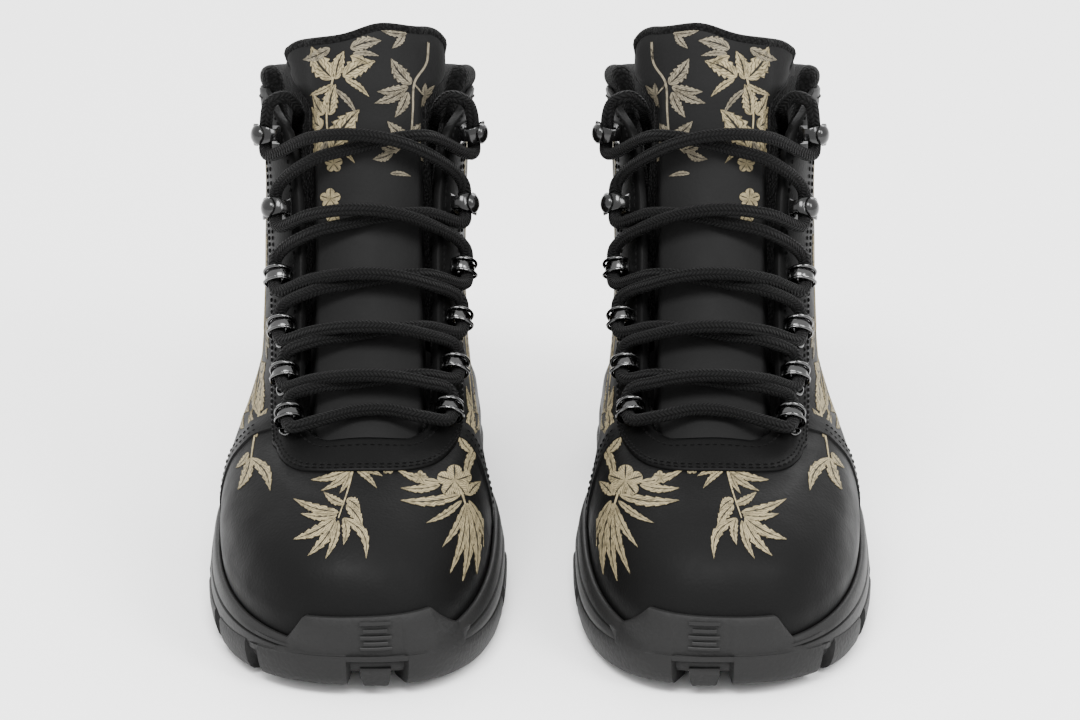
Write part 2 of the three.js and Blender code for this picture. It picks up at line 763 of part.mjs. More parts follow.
// A spline that is stepped by its points instead of by its length, so that tight turns get more steps.
class SteppedCurve extends THREE.CatmullRomCurve3 {
  getUtoTmapping(u) {
    return u;
  }
}

function disc(radius, sides) {
  const turns = Array.from({ length: sides }, (_, i) => (2 * Math.PI * i) / sides);
  return new THREE.Shape(vectors(turns.map((turn) => [radius * Math.cos(turn), radius * Math.sin(turn)])));
}

const SIDES = 8;
const AGLET_LENGTH = 18;
const AGLET_RADIUS = 1.7;

function laceTube() {
  const route = laceRoute();
  const extrudePath = new SteppedCurve(route);
  return new THREE.ExtrudeGeometry(disc(LACE_D / 2, SIDES), { steps: route.length - 1, extrudePath });
}

function aglet(side) {
  const [before, tip] = tail(side).slice(-2);
  const along = tip.clone().sub(before).normalize();
  const at = (distance) => tip.clone().addScaledVector(along, distance);
  const extrudePath = new THREE.LineCurve3(at(GAP), at(AGLET_LENGTH));
  return new THREE.ExtrudeGeometry(disc(AGLET_RADIUS, SIDES), { steps: 1, extrudePath });
}

// ---- Materials ----
const finish = (color, roughness, metalness = 0) =>
  new THREE.MeshStandardMaterial({ color, roughness, metalness });
const MATERIALS = {
  rubber: finish(0x2b2c2d, 0.75),
  foam: finish(0x303132, 0.7),
  leather: finish(0x19191a, 0.55),
  trim: finish(0x161617, 0.5),
  knit: finish(0x121213, 0.95),
  board: finish(0x8a7c66, 0.9),
  nylon: finish(0x3a3a3c, 0.6),
  felt: finish(0x2a2a2c, 0.95),
  cord: finish(0x101011, 0.85),
  plastic: finish(0x151515, 0.35),
  metal: finish(0x3a3b3d, 0.3, 0.9),
};

// ---- One boot ----
function bootPieces() {
  const pieces = [
    ["outsole", toGeometry(outsole()), "rubber"],
    ["midsole", toGeometry(midsole()), "foam"],
    ["shank", shank(), "nylon"],
    ["lasting_board", lastingBoard(), "board"],
    ["footbed", footbed(), "felt"],
    ["vamp", toGeometry(vamp), "leather"],
    ["quarter_inner", toGeometry(quarters.intersect(innerHalf)), "leather"],
    ["quarter_outer", toGeometry(quarters.intersect(outerHalf)), "leather"],
    ["eyestay", toGeometry(eyestay()), "trim"],
    ["lining", toGeometry(lining()), "knit"],
    ["collar", toGeometry(collar()), "knit"],
    ["heel_counter", heelCounter(), "nylon"],
    ["toe_puff", toePuff(), "nylon"],
    ["tongue", tongue(), "leather"],
    ["pull_tab", pullTab(), "cord"],
    ["lace", laceTube(), "cord"],
    ["aglet_inner", aglet(1), "plastic"],
    ["aglet_outer", aglet(-1), "plastic"],
  ];
  LEVELS.forEach(({ w, x }, level) => {
    const isHook = level >= LEVELS.length - HOOK_LEVELS;
    for (const side of [1, -1]) {
      const place = throatFrame(side * x, w, EYESTAY);
      const kind = isHook ? "hook" : "loop";
      const number = isHook ? level - LEVELS.length + HOOK_LEVELS + 1 : level + 1;
      const geometry = isHook ? speedHook(place) : laceLoop(place);
      pieces.push([`${kind}_${side > 0 ? "inner" : "outer"}_${number}`, geometry, "metal"]);
    }
  });
  return pieces;
}

// A boot's own frame has its toe tip near s 0. The groups put the pair's middle at the origin.
function boot(name, mirror) {
  const group = new THREE.Group();
  const lean = new THREE.Matrix4().set(1, 0, -LEAN, 0, 0, 1, 0, 0, 0, 0, 1, 0, 0, 0, 0, 1);
  for (const [piece, geometry, material] of bootPieces()) {
    const solid = toGeometry(toSolid(geometry)).applyMatrix4(lean);
    const mesh = new THREE.Mesh(solid, MATERIALS[material]);
    mesh.name = `${name}_${piece}`;
    group.add(mesh);
  }
  group.scale.x = mirror;
  group.position.set((-mirror * PAIR_SPACING) / 2, -MIDDLE_S, 0);
  return group;
}

const pair = new THREE.Group();
pair.add(boot("right", 1), boot("left", -1));

export default pair;
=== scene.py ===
"""A pair of black mid-cut hiking boots with printed sprigs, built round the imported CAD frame."""
import math

import bmesh
import bpy
import numpy as np
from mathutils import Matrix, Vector


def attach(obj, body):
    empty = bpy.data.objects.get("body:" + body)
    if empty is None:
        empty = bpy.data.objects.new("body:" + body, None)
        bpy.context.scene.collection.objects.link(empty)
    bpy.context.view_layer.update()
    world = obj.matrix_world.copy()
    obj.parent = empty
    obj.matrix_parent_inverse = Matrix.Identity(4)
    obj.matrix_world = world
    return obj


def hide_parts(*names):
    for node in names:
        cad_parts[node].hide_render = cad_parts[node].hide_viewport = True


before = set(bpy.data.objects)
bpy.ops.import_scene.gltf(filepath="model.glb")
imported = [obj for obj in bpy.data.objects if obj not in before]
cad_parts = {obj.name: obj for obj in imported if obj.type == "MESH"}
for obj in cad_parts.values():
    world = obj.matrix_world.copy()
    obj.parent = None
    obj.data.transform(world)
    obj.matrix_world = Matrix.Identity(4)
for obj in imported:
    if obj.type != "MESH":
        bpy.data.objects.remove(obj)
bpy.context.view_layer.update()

# ---- Driving dimensions, in millimetres, in a boot's own frame ----
# x runs towards the boot's inner side, s from the toe tip to the heel, and z up.
MM = 0.001
HALF_SPACING = 65.2
LEAN = 0.015  # how far a boot leans outwards for each millimetre of height
MIDDLE_S = 149.65
INSIDE_GAP = 0.15  # between the last and the inside of the upper
LEATHER = 2.0
EYESTAY = 3.2
OUTSOLE_TOP = 9.0
FLOOR_BALL = 12.5
HEEL_RISE = 11.0
TOE_SPRING = 5.0
SPRING_START = 70.0
SEAM_S = 118.0
THROAT_BASE = 0.514
EYESTAY_BASE = 0.455
TONGUE_THICK = 6.0
LACE_D = 5.2
LACE_LIFT = 4.3
LEAD_LIFT = 0.9
HUMP = LACE_D + 1.6
HUMP_SPREAD = 13.0
BAR_ARCH = 4.5
# Each level of the lacing: its height on the throat, and how far out its fittings sit.
LEVELS = [(0.546, 26.5), (0.6, 28.0), (0.655, 29.2), (0.716, 30.5), (0.812, 30.0), (0.922, 33.5)]
HOOK_LEVELS = 2
VIEW_TILT = math.radians(21)  # the camera looks down by this angle

SIDES = {"right": 1.0, "left": -1.0}

# ---- Camera, light and floor, in metres ----
CAMERA_PLACE = (0, -2.4376, 1.0152)
CAMERA_TARGET = (0, -0.1036, 0.1193)
LENS_MM = 220.8
SENSOR_MM = 36
FLOOR_HALF = 6
FLOOR_GREY = 0.93
SKY_STRENGTH = 2.0
# Each light: its name, place, target, width and depth, and watts.
LIGHTS = [
    ("key", (-0.15, -0.9, 1.6), (0, 0, 0.05), (1.0, 0.6), 52),
    ("fill", (1.0, -0.9, 1.2), (0, 0, 0.08), (0.5, 0.8), 22),
    ("rim", (0.2, 1.3, 1.1), (0, 0, 0.1), (1.6, 0.6), 24),
]


def aim(obj, target):
    obj.rotation_euler = (Vector(target) - obj.location).to_track_quat("-Z", "Y").to_euler()


def make_camera():
    data = bpy.data.cameras.new("camera")
    data.lens = LENS_MM
    data.sensor_width = SENSOR_MM
    data.clip_end = 20
    camera = bpy.data.objects.new("camera", data)
    bpy.context.scene.collection.objects.link(camera)
    camera.location = CAMERA_PLACE
    aim(camera, CAMERA_TARGET)
    bpy.context.scene.camera = camera


def area_light(name, place, target, size, power):
    data = bpy.data.lights.new(name, "AREA")
    data.shape = "RECTANGLE"
    data.size, data.size_y = size
    data.energy = power
    light = bpy.data.objects.new(name, data)
    bpy.context.scene.collection.objects.link(light)
    light.location = place
    aim(light, target)


def make_studio():
    world = bpy.data.worlds.new("studio")
    world.use_nodes = True
    sky = world.node_tree.nodes["Background"]
    sky.inputs["Color"].default_value = (1, 1, 1, 1)
    sky.inputs["Strength"].default_value = SKY_STRENGTH
    bpy.context.scene.world = world
    for light in LIGHTS:
        area_light(*light)
    mesh = bpy.data.meshes.new("floor")
    corners = [(x * FLOOR_HALF, y * FLOOR_HALF, 0) for x, y in ((-1, -1), (1, -1), (1, 1), (-1, 1))]
    mesh.from_pydata(corners, [], [(0, 1, 2, 3)])
    floor = bpy.data.objects.new("floor", mesh)
    bpy.context.scene.collection.objects.link(floor)
    mat = bpy.data.materials.new("floor_white")
    mat.use_nodes = True
    shader = mat.node_tree.nodes["Principled BSDF"]
    shader.inputs["Base Color"].default_value = (FLOOR_GREY, FLOOR_GREY, FLOOR_GREY, 1)
    shader.inputs["Roughness"].default_value = 1
    floor.data.materials.append(mat)


make_camera()
make_studio()


# ---- The last's surface, as in the CAD, but taken at any number of points at once ----
# Each row: front s, z; back s, z; inner and outer half-widths at three places; the places;
# how square the two ends are; how the height runs from front to back.
FRONT_S, FRONT_Z, BACK_S, BACK_Z = range(4)
INNER_HALVES = slice(4, 7)
OUTER_HALVES = slice(7, 10)
PLACES = slice(10, 13)
FRONT_POWER, BACK_POWER, RISE_POWER = range(13, 16)
STATIONS = np.array([
    [6, 17, 295, 35.5, 44.8, 35.5, 34.5, 56, 47.5, 35.5, 0.35, 0.58, 0.8, 2.6, 2.1, 0.65],
    [4.5, 31, 299, 48, 44.5, 36, 34.5, 56.5, 46.5, 35.5, 0.35, 0.58, 0.8, 2.6, 2.1, 0.8],
    [13, 48, 299, 60, 42, 36, 34.5, 53, 44, 35.5, 0.35, 0.58, 0.8, 2.5, 2.1, 1],
    [36, 60.5, 297, 72, 39, 35.5, 34, 46.5, 41.5, 35.5, 0.36, 0.58, 0.79, 2.3, 2.1, 1],
    [68, 68.5, 294, 86, 36.5, 35, 33.5, 42, 40, 36, 0.37, 0.57, 0.77, 2.2, 2.1, 1],
    [101, 90, 290, 101, 35, 34.5, 33.5, 40.5, 39.5, 37, 0.39, 0.56, 0.74, 2.1, 2.05, 1],
    [131, 114.5, 288, 116, 35, 35, 34, 40.3, 40, 38, 0.42, 0.55, 0.7, 2, 2, 1],
    [154, 142.5, 289, 131.5, 35.5, 36, 35, 40.2, 40.5, 39, 0.44, 0.54, 0.66, 2, 2, 1],
    [169, 174, 291, 145.5, 38.5, 37.5, 36.5, 42, 41.5, 40, 0.46, 0.54, 0.63, 2, 2, 1],
    [178, 198, 294, 158.5, 42, 39.5, 37.5, 44, 42.5, 41, 0.47, 0.54, 0.62, 2, 2, 1],
    [186, 222, 297, 171, 42.5, 40, 38, 44.5, 43, 41.5, 0.47, 0.54, 0.62, 2, 2, 1],
])
STATION_STEP = 0.12


def smooth(f):
    u = np.clip(f, 0, 1)
    return u * u * (3 - 2 * u)


def round_end(u, power=2.0):
    return (1 - (1 - np.clip(u, 0, 1)) ** power) ** (1 / power)


def ring_at(t):
    last = len(STATIONS) - 1
    k = np.clip(np.floor(np.asarray(t) / STATION_STEP), 0, last - 1).astype(int)
    f = (np.asarray(t) / STATION_STEP - k)[..., None]
    a, b, c, d = (STATIONS[np.clip(k + i, 0, last)] for i in (-1, 0, 1, 2))
    square = 2 * a - 5 * b + 4 * c - d
    cube = 3 * b - a - 3 * c + d
    ring = 0.5 * (2 * b + (c - a) * f + square * f * f + cube * f ** 3)
    ring[..., RISE_POWER] = (b + (c - b) * f)[..., RISE_POWER]
    return ring


def hermite(a, b, slope_a, slope_b, span, f):
    f2, f3 = f * f, f ** 3
    ends = (2 * f3 - 3 * f2 + 1) * a + (3 * f2 - 2 * f3) * b
    return ends + span * ((f3 - 2 * f2 + f) * slope_a + (f3 - f2) * slope_b)


def half_width(ring, q, inner):
    widths = np.where(inner[..., None], ring[..., INNER_HALVES], ring[..., OUTER_HALVES])
    a, b, c = np.moveaxis(widths, -1, 0)
    first, middle, rear = np.moveaxis(ring[..., PLACES], -1, 0)
    slope = (c - a) / (rear - first)
    front = a * round_end(q / first, ring[..., FRONT_POWER])
    back = c * round_end((1 - q) / (1 - rear), ring[..., BACK_POWER])
    fore = hermite(a, b, 0, slope, middle - first, (q - first) / (middle - first))
    aft = hermite(b, c, slope, 0, rear - middle, (q - middle) / (rear - middle))
    waist = np.where(q < middle, fore, aft)
    return np.where(q <= first, front, np.where(q >= rear, back, waist))


def last_point(t, angle):
    """The last's surface at a height t and an angle round it from the toe, positive on the inner side."""
    t, angle = np.broadcast_arrays(np.asarray(t, float), np.asarray(angle, float))
    ring = ring_at(t)
    q = (1 - np.cos(angle)) / 2
    inner = np.sin(angle) >= 0
    x = np.where(inner, 1, -1) * half_width(ring, q, inner)
    s = ring[..., FRONT_S] + (ring[..., BACK_S] - ring[..., FRONT_S]) * q
    z = ring[..., FRONT_Z] + (ring[..., BACK_Z] - ring[..., FRONT_Z]) * q ** ring[..., RISE_POWER]
    return np.stack([x, s, z], -1)


def unit(v):
    return v / np.maximum(np.linalg.norm(v, axis=-1, keepdims=True), 1e-9)


def last_normal(t, angle):
    step = 0.004
    t = np.asarray(t, float)
    round_ = last_point(t, angle + step) - last_point(t, angle - step)
    up = last_point(t + step, angle) - last_point(np.maximum(t - step, 0), angle)
    return unit(np.cross(round_, up))


def surface(t, angle, offset):
    """Places a given offset off the last, along its normal."""
    return last_point(t, angle) + last_normal(t, angle) * np.asarray(offset)[..., None]


def angle_at_x(t, x):
    """The angle at which each ring passes x, found by halving."""
    t, x = np.broadcast_arrays(np.asarray(t, float), np.asarray(x, float))
    low, high = np.zeros(t.shape), np.full(t.shape, 1.5)
    sign = np.where(x < 0, -1.0, 1.0)
    for _ in range(26):
        middle = (low + high) / 2
        less = np.abs(last_point(t, sign * middle)[..., 0]) < np.abs(x)
        low, high = np.where(less, middle, low), np.where(less, high, middle)
    return sign * low


def throat_sag(x, w):
    """How far a level line across the throat dips at its sides."""
    return 0.075 * (1 - smooth((w - 0.5) / 0.3)) * (x / 38) ** 2


def throat_spot(x, w):
    """The ring and the angle of a place x across the throat and w up it."""
    x, w = np.broadcast_arrays(np.asarray(x, float), np.asarray(w, float))
    t = w - throat_sag(x, w)
    return t, angle_at_x(t, x)


def on_throat(x, w, offset):
    return surface(*throat_spot(x, w), offset)


def spring(s):
    """How far the sole curves up towards the toe tip."""
    return TOE_SPRING * (np.maximum(0, SPRING_START - s) / SPRING_START) ** 2


def floor_height(s):
    return FLOOR_BALL + spring(s) + HEEL_RISE * smooth((s - 90) / 150)


def rim_height(q):
    return 19.5 + 18.5 * q ** 0.65


# ---- Meshes ----
class Solid:
    """Points and faces of one piece in a boot's own frame, with an optional uv for each point."""

    def __init__(self):
        self.points, self.faces, self.uvs = [], [], []
        self.count = 0

    def add(self, points, faces, uv=None):
        points = np.asarray(points, float).reshape(-1, 3)
        uv = np.zeros((len(points), 2)) if uv is None else np.asarray(uv, float).reshape(-1, 2)
        self.points.append(points)
        self.uvs.append(uv)
        self.faces += [tuple(int(i) + self.count for i in face) for face in faces]
        self.count += len(points)
        return self

    def join(self, other):
        return self.add(np.concatenate(other.points), other.faces, np.concatenate(other.uvs))


def cells(rows, cols, close_rows=False, close_cols=False):
    i, j = np.meshgrid(np.arange(rows if close_rows else rows - 1),
                       np.arange(cols if close_cols else cols - 1), indexing="ij")
    i2, j2 = (i + 1) % rows, (j + 1) % cols
    quads = np.stack([i * cols + j, i * cols + j2, i2 * cols + j2, i2 * cols + j], -1)
    return quads.reshape(-1, 4).tolist()


def grid_uv(points):
    """Arc lengths along both ways of a grid, in millimetres."""
    along = np.linalg.norm(np.diff(points, axis=1), axis=-1)
    up = np.linalg.norm(np.diff(points, axis=0), axis=-1)
    middle_row, middle_col = along[len(along) // 2], up[:, up.shape[1] // 2]
    u = np.concatenate([[0], np.cumsum(middle_row)])
    v = np.concatenate([[0], np.cumsum(middle_col)])
    return np.stack(np.meshgrid(u, v), -1)


def shell(outer, inner, keep=None):
    """A closed solid between two grids of points. keep tells which cells are there."""
    rows, cols = outer.shape[:2]
    kept = np.ones((rows - 1, cols - 1), bool) if keep is None else keep
    n = rows * cols
    faces = []
    for i, j in zip(*np.nonzero(kept)):
        a, b, c, d = i * cols + j, i * cols + j + 1, (i + 1) * cols + j + 1, (i + 1) * cols + j
        faces += [(a, b, c, d), (n + d, n + c, n + b, n + a)]
        for p, q, ni, nj in ((a, b, i - 1, j), (b, c, i, j + 1), (c, d, i + 1, j), (d, a, i, j - 1)):
            if not (0 <= ni < rows - 1 and 0 <= nj < cols - 1 and kept[ni, nj]):
                faces.append((q, p, n + p, n + q))
    points = np.concatenate([outer.reshape(-1, 3), inner.reshape(-1, 3)])
    uv = grid_uv(outer).reshape(-1, 2)
    return Solid().add(points, faces, np.concatenate([uv, uv]))


def lofted(rings, uv=None):
    """Rings of points joined one after another. Each end is closed straight across."""
    rows, cols = rings.shape[:2]
    faces = cells(rows, cols, close_cols=True)
    top = (rows - 1) * cols
    for j in range(cols // 2):
        a, b, c, d = j, j + 1, (cols - j - 1) % cols, (cols - j) % cols
        for base in (0, top):
            face = list(dict.fromkeys([base + a, base + b, base + c, base + d]))
            if len(face) > 2:
                faces.append(face)
    return Solid().add(rings, faces, uv)


def capped(rings, uv=None):
    """Rings of points joined one after another, with one face over each end."""
    rows, cols = rings.shape[:2]
    faces = cells(rows, cols, close_cols=True)
    faces += [list(range(cols)), [(rows - 1) * cols + j for j in range(cols)]]
    return Solid().add(rings, faces, uv)


def side_faces(rows, cols):
    """The two faces over the sides of a grid whose rows go all the way round."""
    return [[i * cols for i in range(rows)], [i * cols + cols - 1 for i in range(rows)]]


def lengths_along(path):
    """How far along a path each of its points is."""
    return np.concatenate([[0], np.cumsum(np.linalg.norm(np.diff(path, axis=0), axis=-1))])


def points_at(places, lengths, path):
    """A path's points at the given places, where lengths says how far along each known point is."""
    return np.stack([np.interp(places, lengths, path[:, k]) for k in range(3)], -1)


def sweep(path, radius, sides, normals=None, flat=1.0):
    """A tube along a path. A section is flattened towards the given normals."""
    path = np.asarray(path, float)
    ahead = unit(np.gradient(path, axis=0))
    if normals is None:
        normals = np.zeros_like(path)
        up = np.array([0.0, 0.0, 1.0]) if abs(ahead[0][2]) < 0.9 else np.array([1.0, 0.0, 0.0])
        for i, d in enumerate(ahead):
            up = unit(up - d * np.dot(up, d))
            normals[i] = up
    normals = unit(normals - ahead * np.sum(normals * ahead, -1, keepdims=True))
    across = np.cross(ahead, normals)
    turn = np.arange(sides) * math.tau / sides
    radius = np.broadcast_to(radius, (len(path),))[:, None, None]
    ring = (np.cos(turn)[None, :, None] * across[:, None] +
            np.sin(turn)[None, :, None] * normals[:, None] * flat)
    points = path[:, None] + ring * radius
    uv = np.stack(np.meshgrid(np.arange(sides) / sides, lengths_along(path)), -1)
    return capped(points, uv)


def smooth_path(points, per_span):
    """A centripetal spline through the points."""
    p = np.asarray(points, float)
    p = np.concatenate([[2 * p[0] - p[1]], p, [2 * p[-1] - p[-2]]])
    out = []
    for i in range(1, len(p) - 2):
        a, b, c, d = p[i - 1:i + 3]
        knots = np.cumsum([0] + [max(np.linalg.norm(v) ** 0.5, 1e-4) for v in (b - a, c - b, d - c)])
        for f in np.arange(per_span) / per_span:
            u = knots[1] + (knots[2] - knots[1]) * f
            l1, l2, l3 = ((knots[k + 1] - u) / (knots[k + 1] - knots[k]) * q +
                          (u - knots[k]) / (knots[k + 1] - knots[k]) * r
                          for k, q, r in ((0, a, b), (1, b, c), (2, c, d)))
            m1 = (knots[2] - u) / (knots[2] - knots[0]) * l1 + (u - knots[0]) / (knots[2] - knots[0]) * l2
            m2 = (knots[3] - u) / (knots[3] - knots[1]) * l2 + (u - knots[1]) / (knots[3] - knots[1]) * l3
            out.append((knots[2] - u) / (knots[2] - knots[1]) * m1 +
                       (u - knots[1]) / (knots[2] - knots[1]) * m2)
    out.append(p[-2])
    return np.array(out)


def flat_path(points, per_span):
    """The same kind of spline through points with two coordinates."""
    return smooth_path([(a, b, 0) for a, b in points], per_span)[:, :2]


def even_path(path, step):
    """The same path with its points at even steps."""
    lengths = lengths_along(path)
    places = np.linspace(0, lengths[-1], max(2, int(round(lengths[-1] / step)) + 1))
    return points_at(places, lengths, path)


ALL_SMOOTH = 180


def publish(name, solid, look, body, node=None, sharp=40):
    """Makes a piece of both boots. The left one is the right one's mirror image.

    Edges sharper than the angle sharp, in degrees, stay sharp.
    """
    points = np.concatenate(solid.points)
    uvs = np.concatenate(solid.uvs)
    used = np.unique(np.concatenate([np.array(face) for face in solid.faces]))
    where = np.zeros(len(points), int)
    where[used] = np.arange(len(used))
    faces = [[int(where[i]) for i in face] for face in solid.faces]
    points, uvs = points[used], uvs[used]
    points[:, 0] -= LEAN * points[:, 2]
    points -= (HALF_SPACING, MIDDLE_S, 0)
    for side, mirror in SIDES.items():
        place = points * (mirror, 1, 1) * MM
        mesh = bpy.data.meshes.new(f"{side}_{name}")
        mesh.from_pydata(place.tolist(), [], faces)
        layer = mesh.uv_layers.new(name="uv")
        corners = np.zeros(len(mesh.loops), np.int32)
        mesh.loops.foreach_get("vertex_index", corners)
        layer.data.foreach_set("uv", uvs[corners].astype(np.float32).ravel())
        obj = bpy.data.objects.new(f"{side}_{name}", mesh)
        bpy.context.scene.collection.objects.link(obj)
        tidy_normals(mesh)
        mesh.polygons.foreach_set("use_smooth", [True] * len(mesh.polygons))
        if sharp < ALL_SMOOTH:
            mesh.set_sharp_from_angle(angle=math.radians(sharp))
        mesh.materials.append(LOOK[look])
        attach(obj, f"{side}_{body}")
        if node:
            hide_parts(f"{side}_{node}")


def tidy_normals(mesh):
    """Joins points that coincide, and turns every face outwards."""
    bm = bmesh.new()
    bm.from_mesh(mesh)
    bmesh.ops.remove_doubles(bm, verts=bm.verts, dist=1e-6)
    bmesh.ops.recalc_face_normals(bm, faces=bm.faces)
    bm.to_mesh(mesh)
    bm.free()


# ---- Materials: all procedural, in the pieces' own coordinates ----
class Shader:
    """Builds one material's nodes. A number goes straight on a socket, and a socket is linked."""

    def __init__(self, name, roughness=0.5, metallic=0.0):
        self.material = bpy.data.materials.new(name)
        self.material.use_nodes = True
        self.tree = self.material.node_tree
        self.main = self.tree.nodes["Principled BSDF"]
        self.main.inputs["Roughness"].default_value = roughness
        self.main.inputs["Metallic"].default_value = metallic
        self.coords = self.tree.nodes.new("ShaderNodeTexCoord")

    def put(self, node, name, value):
        if isinstance(value, bpy.types.NodeSocket):
            self.tree.links.new(value, node.inputs[name])
        else:
            node.inputs[name].default_value = value

    def node(self, kind, inputs, **props):
        made = self.tree.nodes.new("ShaderNode" + kind)
        for key, value in props.items():
            setattr(made, key, value)
        for key, value in inputs.items():
            self.put(made, key, value)
        return made

    def math(self, operation, a, b=0.0):
        return self.node("Math", {0: a, 1: b}, operation=operation).outputs[0]

    def noise(self, scale, detail):
        inputs = {"Vector": self.coords.outputs["Object"], "Scale": scale, "Detail": detail}
        return self.node("TexNoise", inputs).outputs["Fac"]

    def cells(self, scale, feature="F1"):
        inputs = {"Vector": self.coords.outputs["Object"], "Scale": scale}
        return self.node("TexVoronoi", inputs, feature=feature).outputs["Distance"]

    def uv(self):
        parts = self.node("SeparateXYZ", {0: self.coords.outputs["UV"]})
        return parts.outputs[0], parts.outputs[1]

    def spread(self, value, low, high, start=0.0, end=1.0):
        inputs = {"Value": value, "From Min": start, "From Max": end, "To Min": low, "To Max": high}
        return self.node("MapRange", inputs).outputs[0]

    def blend(self, factor, a, b):
        ramp = self.node("ValToRGB", {0: factor})
        ramp.color_ramp.elements[0].color = (*a, 1)
        ramp.color_ramp.elements[1].color = (*b, 1)
        return ramp.outputs[0]

    def bump(self, height, distance, strength):
        made = self.node("Bump", {"Height": height, "Distance": distance, "Strength": strength})
        self.put(self.main, "Normal", made.outputs[0])

    def finish(self, color=None, roughness=None, gloss=0.5, **sockets):
        self.main.inputs["Specular IOR Level"].default_value = gloss
        if color is not None:
            self.put(self.main, "Base Color", color)
        if roughness is not None:
            self.put(self.main, "Roughness", roughness)
        for key, value in sockets.items():
            self.put(self.main, key.replace("_", " "), value)
        return self.material


def grey(level, warm=0.0):
    """A linear grey. warm moves it towards red and away from blue."""
    return (level * (1 + warm), level, level * (1 - warm))


def leather(name, level, grain=900.0, depth=0.00022, rough=(0.46, 0.64), gloss=0.06):
    m = Shader(name)
    pores = m.cells(grain, feature="SMOOTH_F1")
    folds = m.noise(55, 5)
    m.bump(m.math("ADD", m.math("MULTIPLY", pores, 0.6), folds), depth, 0.55)
    shade = m.noise(18, 4)
    color = m.blend(shade, grey(level * 0.82), grey(level * 1.2))
    return m.finish(color, m.spread(folds, *rough, 0.3, 0.7), gloss)


def rubber(name, level, rough, stipple, depth):
    m = Shader(name)
    grit = m.noise(stipple, 2)
    m.bump(grit, depth, 0.7)
    dust = m.noise(35, 6)
    color = m.blend(dust, grey(level * 0.8), grey(level * 1.25, 0.01))
    return m.finish(color, m.spread(grit, rough - 0.07, rough + 0.08), 0.14)


def knit(name, level, scale=780.0, depth=0.0007):
    m = Shader(name, 0.95)
    mesh = m.cells(scale)
    fuzz = m.noise(2600, 2)
    height = m.math("SUBTRACT", m.math("MULTIPLY", fuzz, 0.3), mesh)
    m.bump(height, depth, 0.9)
    # Painted shade: the colour darkens towards the cells' edges, the recesses between the knit's loops, and
    # is lighter on their raised middles.
    color = m.blend(m.spread(mesh, 1.0, 0.0, 0.15, 0.75), grey(level * 0.3), grey(level * 1.5))
    return m.finish(color, gloss=0.05, Sheen_Weight=0.03, Sheen_Roughness=0.5)


def braid(name, level, stitches=8.0, pitch=1.5, depth=0.0008):
    """A round braid: two sets of yarns that cross in a herringbone along the tube."""
    m = Shader(name, 0.72)
    u, v = m.uv()
    around = m.math("MULTIPLY", u, stitches)
    along = m.math("DIVIDE", v, pitch)
    lane = m.math("PINGPONG", around, 1.0)
    yarn = m.math("FRACT", m.math("ADD", along, m.math("MULTIPLY", lane, 0.9)))
    ridge = m.math("SINE", m.math("MULTIPLY", yarn, math.pi))
    groove = m.math("SINE", m.math("MULTIPLY", lane, math.pi))
    height = m.math("MULTIPLY", ridge, m.math("ADD", m.math("MULTIPLY", groove, 0.7), 0.3))
    m.bump(height, depth, 1.0)
    # Painted shade and highlight: the colour follows the yarn height, darker in the grooves between yarns
    # and lighter on their crests.
    color = m.blend(height, grey(level * 0.15), grey(level * 2.0))
    return m.finish(color, gloss=0.08, Sheen_Weight=0.015, Sheen_Roughness=0.45)


def webbing(name, level):
    m = Shader(name, 0.8)
    u, v = m.uv()
    ribs = m.math("ABSOLUTE", m.math("SINE", m.math("MULTIPLY", v, math.pi / 1.6)))
    ends = m.math("ABSOLUTE", m.math("SINE", m.math("MULTIPLY", u, math.pi / 1.1)))
    height = m.math("ADD", ribs, m.math("MULTIPLY", ends, 0.4))
    m.bump(height, 0.0006, 0.9)
    # Painted shade: the colour follows the rib height, darker in the grooves between ribs and lighter on
    # their crests.
    return m.finish(m.blend(height, grey(level * 0.5), grey(level * 1.4)), gloss=0.06)


def printed_leaf(name, light, dark):
    """A printed leaf. Its uv runs across from -1 to 1, and along from 0 to 1."""
    m = Shader(name, 0.6)
    u, v = m.uv()
    side = m.math("ABSOLUTE", u)
    wander = m.math("MULTIPLY", m.noise(300, 2), 1.6)
    slant = m.math("SUBTRACT", m.math("MULTIPLY", v, 6.0), m.math("MULTIPLY", side, 2.6))
    vein = m.math("PINGPONG", m.math("ADD", slant, wander), 0.5)
    hatch = m.spread(vein, 0.0, 1.0, 0.07, 0.16)
    midrib = m.spread(side, 0.0, 1.0, 0.08, 0.18)
    age = m.spread(m.noise(420, 3), 0.45, 1.0, 0.32, 0.55)
    edge = m.spread(side, 1.0, 0.8, 0.85, 1.0)
    lines = m.math("MULTIPLY", m.math("MAXIMUM", hatch, 0.12), midrib)
    ink = m.math("MULTIPLY", lines, m.math("MULTIPLY", age, edge))
    m.bump(ink, 0.0001, 0.6)
    return m.finish(m.blend(ink, dark, light), gloss=0.1)


def metal(name, level, rough):
    m = Shader(name, rough, 1.0)
    brushed = m.noise(500, 4)
    m.bump(m.noise(900, 2), 0.00003, 0.4)
    color = m.blend(brushed, grey(level * 0.8), grey(level * 1.2))
    return m.finish(color, m.spread(brushed, rough - 0.06, rough + 0.1))


def fibre(name, level, warm=0.0):
    m = Shader(name, 0.95)
    hair = m.noise(1500, 5)
    m.bump(hair, 0.0005, 0.8)
    return m.finish(m.blend(hair, grey(level * 0.5, warm), grey(level * 1.5, warm)), gloss=0.05)


def enamel(name, level, rough):
    m = Shader(name, rough)
    wear = m.noise(260, 4)
    m.bump(wear, 0.00004, 0.4)
    color = m.blend(wear, grey(level * 0.7), grey(level * 1.3))
    return m.finish(color, m.spread(wear, rough, rough + 0.12), 0.3, Coat_Weight=0.2, Coat_Roughness=0.1)


